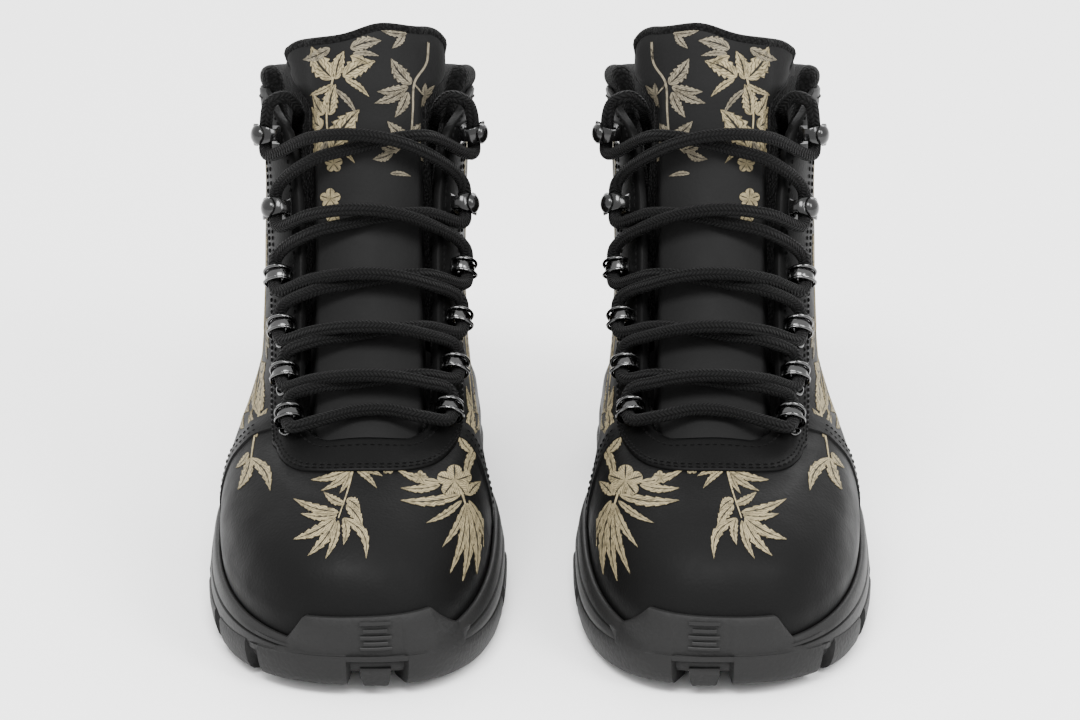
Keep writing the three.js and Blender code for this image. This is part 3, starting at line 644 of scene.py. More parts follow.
LOOK = {
    "leather": leather("leather", 0.0032),
    "eyestay": leather("eyestay_leather", 0.0022, 1100, 0.00018, (0.4, 0.56), 0.05),
    "tongue": leather("tongue_leather", 0.0075, 800, 0.0002, (0.52, 0.68), 0.05),
    "band": rubber("midsole_foam", 0.009, 0.5, 900, 0.00012),
    "rubber": rubber("outsole_rubber", 0.0085, 0.6, 620, 0.0004),
    "mark": rubber("embossed_rubber", 0.009, 0.5, 900, 0.0001),
    "knit": knit("collar_knit", 0.0026),
    "piping": knit("piping_knit", 0.0045, 1000, 0.0005),
    "lace": braid("lace_braid", 0.0022),
    "thread": braid("thread", 0.0012, 3, 0.5, 0.0001),
    "webbing": webbing("tab_webbing", 0.0045),
    "gunmetal": metal("gunmetal", 0.07, 0.13),
    "hook": enamel("hook_enamel", 0.003, 0.12),
    "aglet": enamel("aglet_plastic", 0.004, 0.25),
    "felt": fibre("footbed_felt", 0.014),
    "board": fibre("lasting_fibre", 0.09, 0.25),
    "nylon": rubber("nylon_sheet", 0.02, 0.45, 1200, 0.0001),
    "cream": printed_leaf("print_cream", (0.24, 0.2, 0.115), (0.008, 0.007, 0.005)),
    "umber": printed_leaf("print_umber", (0.16, 0.14, 0.1), (0.007, 0.006, 0.005)),
}


# ---- The upper ----
def seam_s(x):
    """Where the vamp meets the quarters: the seam runs back as it goes down."""
    return SEAM_S - 20 + 42 * np.clip((np.abs(x) - 30) / 60, 0, 1)


def seam_angle(t, side):
    """The angle, on one side, at which each ring crosses the seam."""
    angles = np.linspace(0.0, math.pi, 400)
    ring = last_point(np.asarray(t)[:, None], side * angles[None])
    behind = ring[..., 1] - seam_s(ring[..., 0])
    first = np.argmax(behind > 0, axis=1)
    before = np.maximum(first - 1, 0)
    rows = np.arange(len(first))
    a, b = behind[rows, before], behind[rows, first]
    f = np.where(first > 0, a / (a - b + 1e-9), 0)
    return angles[before] + (angles[first] - angles[before]) * f


def front_edge_x(t):
    """Half the gap between the eyestay's two legs, which open in a V at the top."""
    places = [0.76, 0.84, 0.90, 0.93, 0.96, 1.0, 1.06]
    halves = [24.5, 25.3, 27.0, 29.0, 34.5, 39.5, 42.0]
    return np.interp(t, places, halves)


def foot_rows(ts, columns, offset):
    """Grid rows whose first one goes down inside the midsole's rim."""
    points = surface(ts[:, None], columns, offset)
    points[0, :, 2] -= 5
    return points


def in_throat(points_t, angle, half, base):
    """Whether places lie in the throat, the gap that the tongue fills."""
    x = last_point(points_t, angle)[..., 0]
    w = points_t + throat_sag(x, points_t)
    return (np.abs(x) < half) & (w > base) & (np.cos(angle) > 0)


def build_vamp():
    ts = np.concatenate([[0.0], np.linspace(0.002, 0.56, 90)])
    u = np.linspace(-1, 1, 181)
    ends = {side: seam_angle(ts, side)[:, None] for side in (1, -1)}
    angle = np.where(u[None] > 0, ends[1] * u[None], ends[-1] * u[None])
    t = np.broadcast_to(ts[:, None], angle.shape)
    outer = foot_rows(ts, angle, LEATHER)
    inner = foot_rows(ts, angle, INSIDE_GAP)
    middle_t = (t[1:, 1:] + t[:-1, :-1]) / 2
    middle_angle = (angle[1:, 1:] + angle[:-1, :-1]) / 2
    keep = ~in_throat(middle_t, middle_angle, 29, THROAT_BASE - 0.025)
    publish("vamp", shell(outer, inner, keep), "leather", "boot", "vamp")


QUARTER_LAP = 5.0


def quarter_start(ts, side):
    """The angle of a quarter's front edge: the seam, then under the eyestay, then the V."""
    seam = seam_angle(ts, side) - QUARTER_LAP / 75
    under = np.abs(angle_at_x(ts, side * np.where(ts > 0.93, front_edge_x(ts), 30.0)))
    return np.where(ts > 0.5, under, np.maximum(seam, under * smooth((ts - 0.4) / 0.1)))


def build_quarter(name, side):
    ts = np.concatenate([[0.0], np.linspace(0.002, 0.975, 120), np.linspace(0.98, 1.0, 8)])
    start = quarter_start(ts, side)[:, None]
    f = np.linspace(0, 1, 130)[None] ** 1.15
    angle = side * (start + (math.pi - start) * f)
    points = last_point(ts[:, None], angle)
    steps = np.linalg.norm(np.diff(points, axis=1), axis=-1)
    back = np.concatenate([np.zeros((len(ts), 1)), np.cumsum(steps, axis=1)], 1)
    low = (ts < 0.6)[:, None]
    lap = np.where(low, 1 - smooth((back - 6) / 14), 0)
    rim = smooth((1.0 - ts) / 0.012)[:, None]
    crown = round_end(back / 1.2 + 0.15) * round_end(rim + 0.25)
    outer = foot_rows(ts, angle, (LEATHER + 0.8 * lap) * crown)
    inner = foot_rows(ts, angle, INSIDE_GAP + 1.9 * np.where(back < QUARTER_LAP + 1, lap, 0) * crown)
    publish(name, shell(outer, inner), "leather", "boot", name)


def seam_line(side, behind, ts):
    """A line of places on a quarter, a given distance behind its front edge."""
    angle = side * (quarter_start(ts, side) + behind / 62)
    return surface(ts, angle, LEATHER + 0.55), last_normal(ts, angle)


def heel_stay_half(t):
    """Half the angle that the strip over the back seam takes up."""
    return np.interp(t, [0, 0.25, 0.4, 0.6, 1.0], [0.62, 0.5, 0.26, 0.2, 0.22])


def build_heel_stay():
    """The strip over the back seam, wider at its foot."""
    ts = np.concatenate([[0.0], np.linspace(0.004, 0.99, 90)])
    half = heel_stay_half(ts)[:, None]
    u = np.linspace(-1, 1, 31)[None]
    angle = math.pi + u * half
    crown = round_end((1 - np.abs(u)) / 0.08 + 0.12) * round_end((1.0 - ts[:, None]) / 0.02 + 0.1)
    outer = foot_rows(ts, angle, LEATHER + 0.15 + 1.15 * crown)
    inner = foot_rows(ts, angle, LEATHER - 0.1 + 0 * angle)
    publish("heel_stay", shell(outer, inner), "eyestay", "boot")
    rows = Solid()
    for sign in (1, -1):
        for inset in (0.09, 0.2):
            line_ts = np.linspace(0.09, 0.97, 80)
            at = math.pi + sign * (heel_stay_half(line_ts) - inset * 0.22)
            rows.join(stitches(surface(line_ts, at, LEATHER + 1.3), last_normal(line_ts, at)))
    publish("heel_stitching", rows, "thread", "boot")


# ---- Stitching: short rounded threads laid along a line ----
STITCH_PITCH = 2.9
STITCH_LENGTH = 2.1
STITCH_RADIUS = 0.38


def stitches(line, normals):
    lengths = lengths_along(line)
    rise = np.array([-0.25, 0.1, 0.18, 0.1, -0.25])[:, None]
    width = STITCH_RADIUS * np.array([0.5, 0.95, 1.0, 0.95, 0.5])
    out = Solid()
    for start in np.arange(STITCH_PITCH / 2, lengths[-1] - STITCH_PITCH / 2, STITCH_PITCH):
        places = start + np.linspace(0, STITCH_LENGTH, len(rise))
        normal = points_at(places, lengths, normals)
        out.join(sweep(points_at(places, lengths, line) + normal * rise, width, 6, normal))
    return out


# ---- The eyestay: a U-shaped band round the throat ----
EYESTAY_TOP = 0.972
LEG_STEPS = 70
BASE_STEPS = 20


def u_curve(start, half_at, corner, rise):
    """(x, w) along a U from its outer top, round the base, to its inner top."""
    legs = np.linspace(EYESTAY_TOP, start + rise, LEG_STEPS)
    phi = np.linspace(0, math.pi / 2, 18)[1:]
    base_half = half_at(start + rise, 1)
    bend = np.stack([base_half - corner + corner * np.cos(phi), start + rise * (1 - np.sin(phi))], -1)
    right = np.concatenate([np.stack([half_at(legs, 1), legs], -1), bend])
    left = right.copy()
    left[:LEG_STEPS, 0] = half_at(legs, -1)
    left[:, 0] *= -1
    across = np.linspace(-(base_half - corner), base_half - corner, BASE_STEPS + 2)[1:-1]
    base = np.stack([across, np.full(BASE_STEPS, start)], -1)
    return np.concatenate([left, base, right[::-1]])


def eyestay_half(w, side):
    """Where a leg's outer edge runs, kept on the front of the last."""
    ring = ring_at(w)
    widest = ring[..., INNER_HALVES.start if side > 0 else OUTER_HALVES.start]
    return np.minimum(36.2 + 3.3 * smooth((np.asarray(w) - 0.6) / 0.3), 0.955 * widest)


def band_line(f):
    """Places (x, w) along the band: f is 0 on its inner edge and 1 on its outer one."""
    inner = u_curve(THROAT_BASE, lambda w, side: front_edge_x(w), 12, 0.06)
    outer = u_curve(EYESTAY_BASE, eyestay_half, 11.5, 0.042)
    return inner * (1 - f) + outer * f


def build_eyestay():
    fs = np.concatenate([[0, 0.02, 0.05, 0.1], np.linspace(0.16, 0.86, 13), [0.92, 0.96, 0.985, 1.0]])
    lines = np.array([band_line(f) for f in fs])
    count = lines.shape[1]
    distance = np.minimum(fs * 11, (1 - fs) * 11)[:, None] * np.ones((1, count))
    ends = np.minimum(np.arange(count), np.arange(count)[::-1])[None] * 1.1
    crown = round_end(np.minimum(distance, ends + 0.05) / 1.1 + 0.05)
    puff = 0.35 * np.sin(np.clip(fs, 0, 1) * math.pi)[:, None]
    outer = on_throat(lines[..., 0], lines[..., 1], LEATHER + 0.2 + (EYESTAY - LEATHER - 0.1 + puff) * crown)
    inner = on_throat(lines[..., 0], lines[..., 1], np.where(fs < 0.45, 0.2, 1.95)[:, None] + 0 * crown)
    publish("eyestay", shell(outer, inner), "eyestay", "boot", "eyestay", 50)
    rows = Solid()
    for f in (0.2, 0.8, 0.92):
        line = band_line(f)[3:-3]
        path = on_throat(line[:, 0], line[:, 1], EYESTAY + 0.25)
        rows.join(stitches(path, last_normal(*throat_spot(line[:, 0], line[:, 1]))))
    publish("eyestay_stitching", rows, "thread", "boot")


# ---- The tongue ----
TONGUE_START = 0.522
TONGUE_END = 1.121
PIPING_INSET = 0.985


def tongue_half(w, x=1.0):
    """Half the tongue's width. It flares above the lacing, and more on the outer side over the collar."""
    return 27.5 + 6.0 * smooth((w - 0.972) / 0.07) + 3.2 * smooth((w - 1.045) / 0.03) * (np.asarray(x) < 0)


def tongue_top(x):
    """The tongue's height over the last: flat in the middle and lower under the eyestay."""
    return -0.5 - 5 * smooth((np.abs(x) - 19.5) / 6.5)


def tongue_end(x):
    """How far up the tongue reaches. Its edge waves, and it is lower on the outer side."""
    lower = 0.024 * smooth((8 - x) / 32)
    corner = 1 - round_end((np.where(x < 0, 36.9, 33.7) - np.abs(x)) / 10)
    return TONGUE_END - lower - 0.04 * corner + 0.0022 * np.sin(x / 4.5)


def tongue_grid():
    """Places (x, w) over the tongue, closer together at its sides."""
    crowding = 0.94 * math.pi / 2
    u = np.sin(np.linspace(-1, 1, 81) * crowding)[None] / math.sin(crowding)
    r = np.linspace(0, 1, 110)[:, None]
    x = u * tongue_half(TONGUE_START + (1.112 - TONGUE_START) * r, u)
    w = TONGUE_START + (tongue_end(x) - TONGUE_START) * r
    return x, w


def tongue_offset(x, w):
    """The tongue's outer face over the last, with its rounded edges and its padded top."""
    half = tongue_half(w, x)
    side = round_end((half - np.abs(x)) / 5 + 0.02)
    top = round_end((tongue_end(x) - w) / 0.03 + 0.02)
    above = smooth((w - 0.96) / 0.06)
    pad = 1.1 * above * (1 - (x / 34) ** 2)
    rise = above * 0.75 * (tongue_top(0.0) - tongue_top(x))
    return tongue_top(x) - 2.0 * (1 - side) - 2.0 * (1 - top) + pad + rise


def build_tongue():
    x, w = tongue_grid()
    top = tongue_offset(x, w)
    half = tongue_half(w, x)
    thin = round_end((half - np.abs(x)) / 6 + 0.02) * round_end((tongue_end(x) - w) / 0.035 + 0.05)
    under = np.minimum(top - 1.4, top - 1.4 - (TONGUE_THICK - 2.4) * thin)
    t, angle = throat_spot(x, w)
    normal = last_normal(t, angle)
    spot = last_point(t, angle)
    outer = spot + normal * top[..., None]
    inner = spot + normal * under[..., None]
    publish("tongue", shell(outer, inner), "tongue", "tongue", "tongue", 60)
    edge_w = np.linspace(0.88, 1.0, 16)
    u = np.linspace(1, -1, 61)
    top_x = u * tongue_half(1.06, u) * PIPING_INSET
    inner_x = tongue_half(edge_w) * PIPING_INSET
    outer_x = -tongue_half(edge_w[::-1], -1) * PIPING_INSET
    xs = np.concatenate([inner_x, top_x, outer_x])
    ws = np.concatenate([edge_w, tongue_end(top_x) - 0.002, edge_w[::-1]])
    path = smooth_path(on_throat(xs, ws, tongue_offset(xs * 0.98, ws - 0.004) - 1.2), 2)
    publish("tongue_piping", sweep(path, 1.9, 10), "piping", "tongue")


# ---- The padded collar and the lining ----
# The collar's section, as (t, offset), from the foot of its outside over the top to its inside.
COLLAR_PROFILE = [
    (0.80, -2.3), (0.88, -1.9), (0.95, -1.0), (0.99, -0.5), (1.003, 0.6), (1.018, 1.2), (1.032, 0.9),
    (1.043, -0.3), (1.048, -2.0), (1.048, -4.0), (1.042, -5.8), (1.026, -7.2), (1.0, -7.9), (0.96, -7.8),
    (0.92, -7.0), (0.87, -5.6), (0.83, -4.3), (0.80, -3.6)]
COLLAR_LENGTH = 215


def collar_front(t):
    """The angle at which the collar's two ends stop, beside the tongue."""
    half_gap = np.interp(t, [0.8, 0.86, 0.92, 0.97, 1.05], [27.0, 28.5, 32.0, 35.8, 38.0])
    return np.abs(angle_at_x(t, half_gap))


def build_collar():
    profile = flat_path([(t * 100, off) for t, off in COLLAR_PROFILE], 3)
    t = profile[:, 0:1] / 100
    off = profile[:, 1:2]
    start = collar_front(t[:, 0])[:, None]
    f = np.linspace(0, 1, 220)[None]
    f = f - 0.06 * np.sin(f * math.tau) / math.tau
    angle = start + (math.tau - 2 * start) * f
    near = np.minimum(f, 1 - f) * COLLAR_LENGTH
    puff = round_end(near / 6 + 0.03)
    middle_t, middle_off = 0.97, -3.4
    t_puffed = middle_t + (t - middle_t) * np.where(t > middle_t, 0.35 + 0.65 * puff, 1)
    off_puffed = middle_off + (off - middle_off) * puff
    wave = 0.5 * np.sin(angle * 9) * smooth((t - 0.9) / 0.1)
    points = surface(t_puffed, angle, off_puffed + wave * puff)
    points = np.concatenate([points, points[:1]])
    rows, cols = points.shape[:2]
    faces = cells(rows, cols) + side_faces(rows - 1, cols)
    body = Solid().add(points, faces, grid_uv(points))
    publish("collar", body, "knit", "boot", "collar", 60)


def build_lining():
    ts = np.linspace(0.02, 0.8, 70)
    half = np.where(ts > 0.5, np.abs(angle_at_x(ts, 26.6)), 0) * smooth((ts - 0.49) / 0.05)
    f = np.linspace(0, 1, 170)[None]
    angle = half[:, None] + (math.tau - 2 * half[:, None]) * f
    outer = surface(ts[:, None], angle, -2.3)
    inner = surface(ts[:, None], angle, -3.5)
    publish("lining", shell(outer, inner), "knit", "boot", "lining")


# ---- The pull tab ----
TAB_HALF_ANGLE = 0.2


def build_pull_tab():
    ts = np.linspace(0.7, 1.075, 50)[:, None]
    u = np.linspace(-1, 1, 13)[None]
    angle = math.pi + TAB_HALF_ANGLE * u * round_end((1.085 - ts) / 0.02 + 0.3)
    lift = 1.2 * smooth((ts - 0.93) / 0.1)
    edge = round_end((1 - np.abs(u)) / 0.12 + 0.1)
    outer = surface(ts, angle, LEATHER + 1.6 + 1.5 * edge + lift * 0.2)
    inner = surface(ts, angle, LEATHER + 1.25 + lift * 0.3 + 0 * edge)
    publish("pull_tab", shell(outer, inner), "webbing", "boot", "pull_tab")
    box = Solid()
    corners = [(0.73, -0.8), (0.73, 0.8), (0.82, 0.8), (0.82, -0.8), (0.73, -0.8)]
    for (t0, u0), (t1, u1) in zip(corners, corners[1:]):
        line_t = np.linspace(t0, t1, 12)
        line_angle = math.pi + TAB_HALF_ANGLE * np.linspace(u0, u1, 12)
        box.join(stitches(surface(line_t, line_angle, LEATHER + 3.1), last_normal(line_t, line_angle)))
    publish("pull_tab_stitching", box, "thread", "boot")


# ---- The sole ----
def sole_ring(angle, offset, height):
    """Places round the sole, off the last's lowest ring. height takes s and how far back each is."""
    p = surface(0.0 * angle, angle, offset)
    q = (1 - np.cos(angle)) / 2
    return np.stack([p[..., 0], p[..., 1], height(p[..., 1], q)], -1)


def underside(s):
    return OUTSOLE_TOP + spring(s) + 0.3


# The midsole's section. Each row: offset, part of the rim's height, and millimetres added to it.
MIDSOLE_PROFILE = [
    (2.2, 1, -9), (2.15, 1, -3), (2.3, 1, -0.4), (3.0, 1, 0.35), (4.1, 1, 0.3), (4.9, 1, -0.5),
    (5.4, 1, -1.9), (5.8, 0.8, 0), (6.1, 0.67, 0), (5.5, 0.645, 0), (5.5, 0.605, 0), (6.5, 0.58, 0),
    (6.9, 0.45, 0), (6.9, 0.3, 0), (6.3, 0.16, 0), (5.2, 0.1, 0), (4.6, 0.04, 0), (4.4, 0, 0), (2.0, 0, 0.2)]


def build_midsole():
    angle = np.linspace(0, math.tau, 361)[:-1]

    def height(part, extra):
        return lambda s, q: underside(s) + (rim_height(q) - underside(s)) * part + extra

    rings = [sole_ring(angle, offset, height(part, extra)) for offset, part, extra in MIDSOLE_PROFILE]
    rings = np.array(rings)
    body = Solid().add(rings, cells(*rings.shape[:2], True, True), grid_uv(rings))
    publish("midsole", body, "band", "boot", "midsole", 50)


# The edge lugs' spans round the sole, as angles. The toe has one wide lug on each side of a notch.
NOTCH = (-0.045, 0.15)
LUG_STEP = 0.34
LUG_SPAN = 0.27
LUG_RAMP = 0.012


def lug_spans():
    spans = [(-0.45, NOTCH[0]), (NOTCH[1], 0.98)]
    spans += [(a, a + LUG_SPAN) for a in np.arange(1.04, math.pi - 0.1, LUG_STEP)]
    spans += [(-a - LUG_SPAN, -a) for a in np.arange(0.52, math.pi - 0.3, LUG_STEP)]
    return spans


def lug_level(angle):
    """1 on an edge lug and 0 between them, with short ramps."""
    wrapped = (angle + math.pi) % math.tau - math.pi
    level = np.zeros_like(wrapped)
    for a, b in lug_spans():
        inside = np.minimum(wrapped - a, b - wrapped)
        level = np.maximum(level, smooth(inside / LUG_RAMP + 0.5))
    return level


def lug_columns():
    """Angles round the sole, closer together at the lugs' walls."""
    edges = np.array([e for span in lug_spans() for e in span])
    close = (edges[:, None] + LUG_RAMP * np.array([-1, -0.5, 0, 0.5, 1])).ravel()
    angle = np.concatenate([np.linspace(-math.pi, math.pi, 281)[:-1], close])
    angle = np.unique(np.round((angle + math.pi) % math.tau, 5))
    return angle - math.pi


def build_outsole():
    angle = lug_columns()
    level = lug_level(angle)
    stand = 7.6 - 0.1 * smooth((1.15 - np.abs(angle)) / 0.5)
    # Each row: offset on a lug and in a recess, then the height on a lug and in a recess.
    profile = [
        (-4, -4, 9.0, 9.0), (4.2, 4.2, 9.0, 9.0), (4.7, 4.4, 12.6, 9.4), (stand - 1.2, 4.6, 13.6, 9.4),
        (stand - 0.3, 4.7, 13.0, 9.0), (stand + 0.1, 4.6, 11.6, 8.0), (stand, 4.2, 8.5, 7.2),
        (stand - 0.5, 3.7, 5.6, 6.5), (stand - 1.3, 3.1, 3.0, 5.8), (stand - 2.4, 2.4, 1.2, 5.3),
        (stand - 3.8, 1.6, 0.3, 5.1), (stand - 5.4, 0.8, 0.0, 5.0), (-9.4, -9.0, 0.0, 5.0),
        (-10.4, -10.0, 0.5, 5.0), (-11.2, -10.6, 4.8, 5.0), (-13, -13, 5.0, 5.0)]

    def row(offset, recessed, z, z_recessed):
        at = recessed + (offset - recessed) * level
        return sole_ring(angle, at, lambda s, q: spring(s) + z_recessed + (z - z_recessed) * level)

    body = lofted(np.array([row(*place) for place in profile]))
    for block in tread_blocks():
        body.join(block)
    body.join(notch_lug())
    body.join(build_bumper())
    publish("outsole", body, "rubber", "boot", "outsole", 35)


def tapered_block(corners, low, high, inset=1.0):
    """A lug with sloping walls between two heights. corners are (x, s) round it."""
    corners = np.asarray(corners, float)
    middle = corners.mean(0)
    rings = []
    for z, grow in ((high, 1.0), (low + 1.2, 0.35), (low + 0.3, 0.1), (low, -0.35)):
        outline = corners + unit(corners - middle) * grow * inset
        lift = spring(outline[:, 1])
        rings.append(np.column_stack([outline, z + lift]))
    return capped(np.array(rings))


BLOCK_TOP = 5.4
WAIST_BAR_LOW = 3.6


def tread_blocks():
    """Chevrons under ball and heel, the two flat blocks that carry the weight, and the waist's bars."""
    blocks = []
    for s in (40, 62, 84, 106):
        for side, x in ((1, 4.5), (-1, -9.5)):
            ends = [(x, s), (x + side * 22, s + 8), (x + side * 22, s + 16), (x, s + 9)]
            blocks.append(tapered_block(ends, 0, BLOCK_TOP))
    for s in (214, 230):
        for side, x in ((1, 1.5), (-1, -8.5)):
            ends = [(x, s), (x + side * 13, s - 6), (x + side * 13, s + 2), (x, s + 8)]
            blocks.append(tapered_block(ends, 0, BLOCK_TOP))
    for x, s, half, length in ((-5, 120, 16, 12), (-4, 250, 14, 14)):
        ends = [(x - half, s), (x + half, s), (x + half, s + length), (x - half, s + length)]
        blocks.append(tapered_block(ends, 0, BLOCK_TOP))
    for s in (140, 152, 164, 176, 188):
        ends = [(-22, s), (12, s), (12, s + 4), (-22, s + 4)]
        blocks.append(tapered_block(ends, WAIST_BAR_LOW, BLOCK_TOP, 0.5))
    return blocks


TOE_MIDDLE_X = 3.4  # the middle of the notch, its lug and the toe's mark


def notch_lug():
    """The small lug inside the notch at the toe."""
    front = last_point(0.0, 0.05)[1]
    rings = []
    for z, half, reach in ((12.0, 5.8, 5.2), (9.8, 5.8, 6.2), (5.4, 4.9, 4.4), (4.2, 4.3, 3.4)):
        left, right = TOE_MIDDLE_X - half, TOE_MIDDLE_X + half
        near, far = front - reach, front + 6
        rings.append([(left, near, z), (right, near, z), (right, far, z), (left, far, z)])
    return capped(np.array(rings))


def t_at_height(angle, z):
    """The ring that reaches a height, at each angle near the toe."""
    ts = np.linspace(0, 0.3, 61)
    heights = last_point(ts[:, None], angle[None])[..., 2]
    return np.array([np.interp(h, heights[:, j], ts) for j, h in enumerate(z)])


# The bumper's face. Each row: part of the way up it, and offset.
BUMPER_PROFILE = [(0.0, 7.0), (0.3, 6.2), (0.55, 5.6), (0.8, 5.0), (0.93, 4.6), (0.985, 4.0), (1.0, 3.1)]


def build_bumper():
    """The outsole's toe, wrapped up over the midsole and on to the vamp."""
    end = 0.62
    spans = [np.linspace(-end, -0.1, 34), np.linspace(-0.09, 0.2, 40), np.linspace(0.21, end, 30)]
    angle = np.concatenate(spans)
    x = last_point(0.05, angle)[:, 0]
    top = np.interp(x, [-42, -31, -22, 22.5, 34, 40], [14, 18, 31.5, 33, 20, 16])
    top_t = t_at_height(angle, top)
    ring_z = last_point(0.0, angle)[:, 2]
    swell = smooth((end - np.abs(angle)) / 0.16)

    def ring(offset, z):
        return sole_ring(angle, offset, lambda s, q: spring(s) + z)

    foot = ring(0.5, 11)
    rows = [foot, ring(3.5 + 3.9 * swell, 10.4), ring(3.8 + 3.8 * swell, 12.6)]
    high = (top > ring_z)[:, None]
    panel = 0.5 * smooth(np.minimum(x + 6.5, 13 - x) / 0.8 + 0.5)
    panel += 0.45 * smooth((np.abs(x - 1) - 21.5) / 1.5)
    for part, lift in BUMPER_PROFILE:
        on_last = surface(top_t * part, angle, lift - panel * (1 - part ** 6))
        low = ring(4.0 + (lift - 4.0) * swell, 12.6)
        low[:, 2] += (top - low[:, 2]) * part
        rows.append(np.where(high, on_last, low))
    rows.append(np.where(high, surface(top_t, angle, 1.9), sole_ring(angle, 2.2, lambda s, q: top)))
    rows.append(foot + np.array([0, 0, 1.5]))
    grid = np.array(rows)
    faces = cells(*grid.shape[:2], close_rows=True) + side_faces(*grid.shape[:2])
    return Solid().add(grid, faces)


def build_toe_mark():
    """A plain raised mark on the toe: short bars, one above another."""
    mark = Solid()
    for part, half in ((0.3, 5.5), (0.42, 4.2), (0.54, 5.5), (0.66, 4.2), (0.78, 5.5)):
        xs = np.linspace(TOE_MIDDLE_X - half, TOE_MIDDLE_X + half, 9)
        angle = angle_at_x(0.06, xs)
        t = np.full(len(xs), 0.13 * part + 0.012)
        lift = 6.1 - 1.15 * part
        mark.join(sweep(surface(t, angle, lift), 0.75, 8, last_normal(t, angle), 0.6))
    publish("toe_mark", mark, "mark", "boot")


def build_footbed():
    angle = np.linspace(0, math.tau, 181)[:-1]
    # Each row of the top: offset, millimetres over the plain height, and how much the heel cups.
    profile = [(-4.9, -2, 0), (-4.7, 0.6, 0.6), (-5.1, 1.3, 0.8), (-6.2, 1.3, 0.8), (-8, 0.7, 0.5),
               (-12, 0.1, 0), (-18, -0.1, -0.4)]

    def height(extra, cup):
        def at(s, q):
            plain = floor_height(s) + 7 + 1.5 * smooth((q - 0.5) / 0.3)
            return plain + extra + cup * smooth((q - 0.55) / 0.3)
        return at

    rings = [sole_ring(angle, -5.4, lambda s, q: floor_height(s) + 2.4)]
    rings += [sole_ring(angle, offset, height(extra, cup)) for offset, extra, cup in profile]
    body = lofted(np.array(rings), grid_uv(np.array(rings)))
    publish("footbed", body, "felt", "footbed", "footbed", 60)


# ---- Lace hardware ----
def throat_frame(x, w, offset):
    """A fitting's place on the throat: its point, three directions and how far x and w reach there."""
    t, angle = throat_spot(x, w)

    def at(u):
        return surface(u, angle_at_x(u, x), offset)

    up = unit(at(t + 0.02) - at(t - 0.02))
    off = last_normal(t, angle)
    out = unit(np.cross(up, off))
    out = -out if out[0] * x < 0 else out
    square = unit(np.cross(out, up))
    square = -square if np.dot(square, off) < 0 else square
    step = 0.01
    across = np.linalg.norm(on_throat(x + 1, w, offset) - on_throat(x - 1, w, offset)) / 2
    climb = np.linalg.norm(on_throat(x, w + step, offset) - on_throat(x, w - step, offset)) / (2 * step)
    return {"point": at(t), "up": up, "out": out, "off": square, "x": x, "w": w,
            "side": math.copysign(1, x), "across": across, "climb": climb}


def band_spot(place, out, up):
    """(x, w) on the throat, a few millimetres out from a fitting and up from it."""
    return place["x"] + place["side"] * out / place["across"], place["w"] + up / place["climb"]


def band_point(place, out, up, lift):
    """A place over the band's curved face, beside a fitting."""
    return on_throat(*band_spot(place, out, up), EYESTAY + lift)


def place_point(place, out, off, up):
    """A place beside a fitting, along the fitting's own directions."""
    return place["point"] + place["out"] * out + place["off"] * off + place["up"] * up


def along_arc(count, values, places=None):
    """Values at the given parts of a line, or at even ones, drawn out to its points."""
    places = np.linspace(0, 1, len(values)) if places is None else places
    return np.interp(np.linspace(0, 1, count), places, values)


# A strip's section: how far across it, as a part of its half-width, and off it, of its thickness.
STRIP_SECTION = [(-1, -0.25), (-1, 0.25), (-0.86, 0.5), (0.86, 0.5), (1, 0.25), (1, -0.25), (0.86, -0.5),
                 (-0.86, -0.5)]


def strip(place, centre, thick, halves, places=None):
    """A bent metal strip. centre is (out, off) along it, and halves its half-widths, as in along_arc."""
    ahead = unit(np.gradient(centre, axis=0))
    side = np.stack([-ahead[:, 1], ahead[:, 0]], -1)
    rings = []
    for c, n, h in zip(centre, side, along_arc(len(centre), halves, places)):
        ring = []
        for across, lift in STRIP_SECTION:
            a, b = c + n * lift * thick
            ring.append(place_point(place, a, b, across * h))
        rings.append(ring)
    return capped(np.array(rings))


def turned(place, out, base, profile, sides):
    """A round solid that stands on a fitting. profile is (radius, height) from its foot up."""
    turn = np.arange(sides) * math.tau / sides
    rings = []
    for r, h in profile:
        rings.append([place_point(place, out + r * math.cos(a), base + h, r * math.sin(a)) for a in turn])
    return lofted(np.array(rings))


FITTING_STEPS = 5
RAIL_OFF = 2.35
RING_LEAN = math.radians(52)


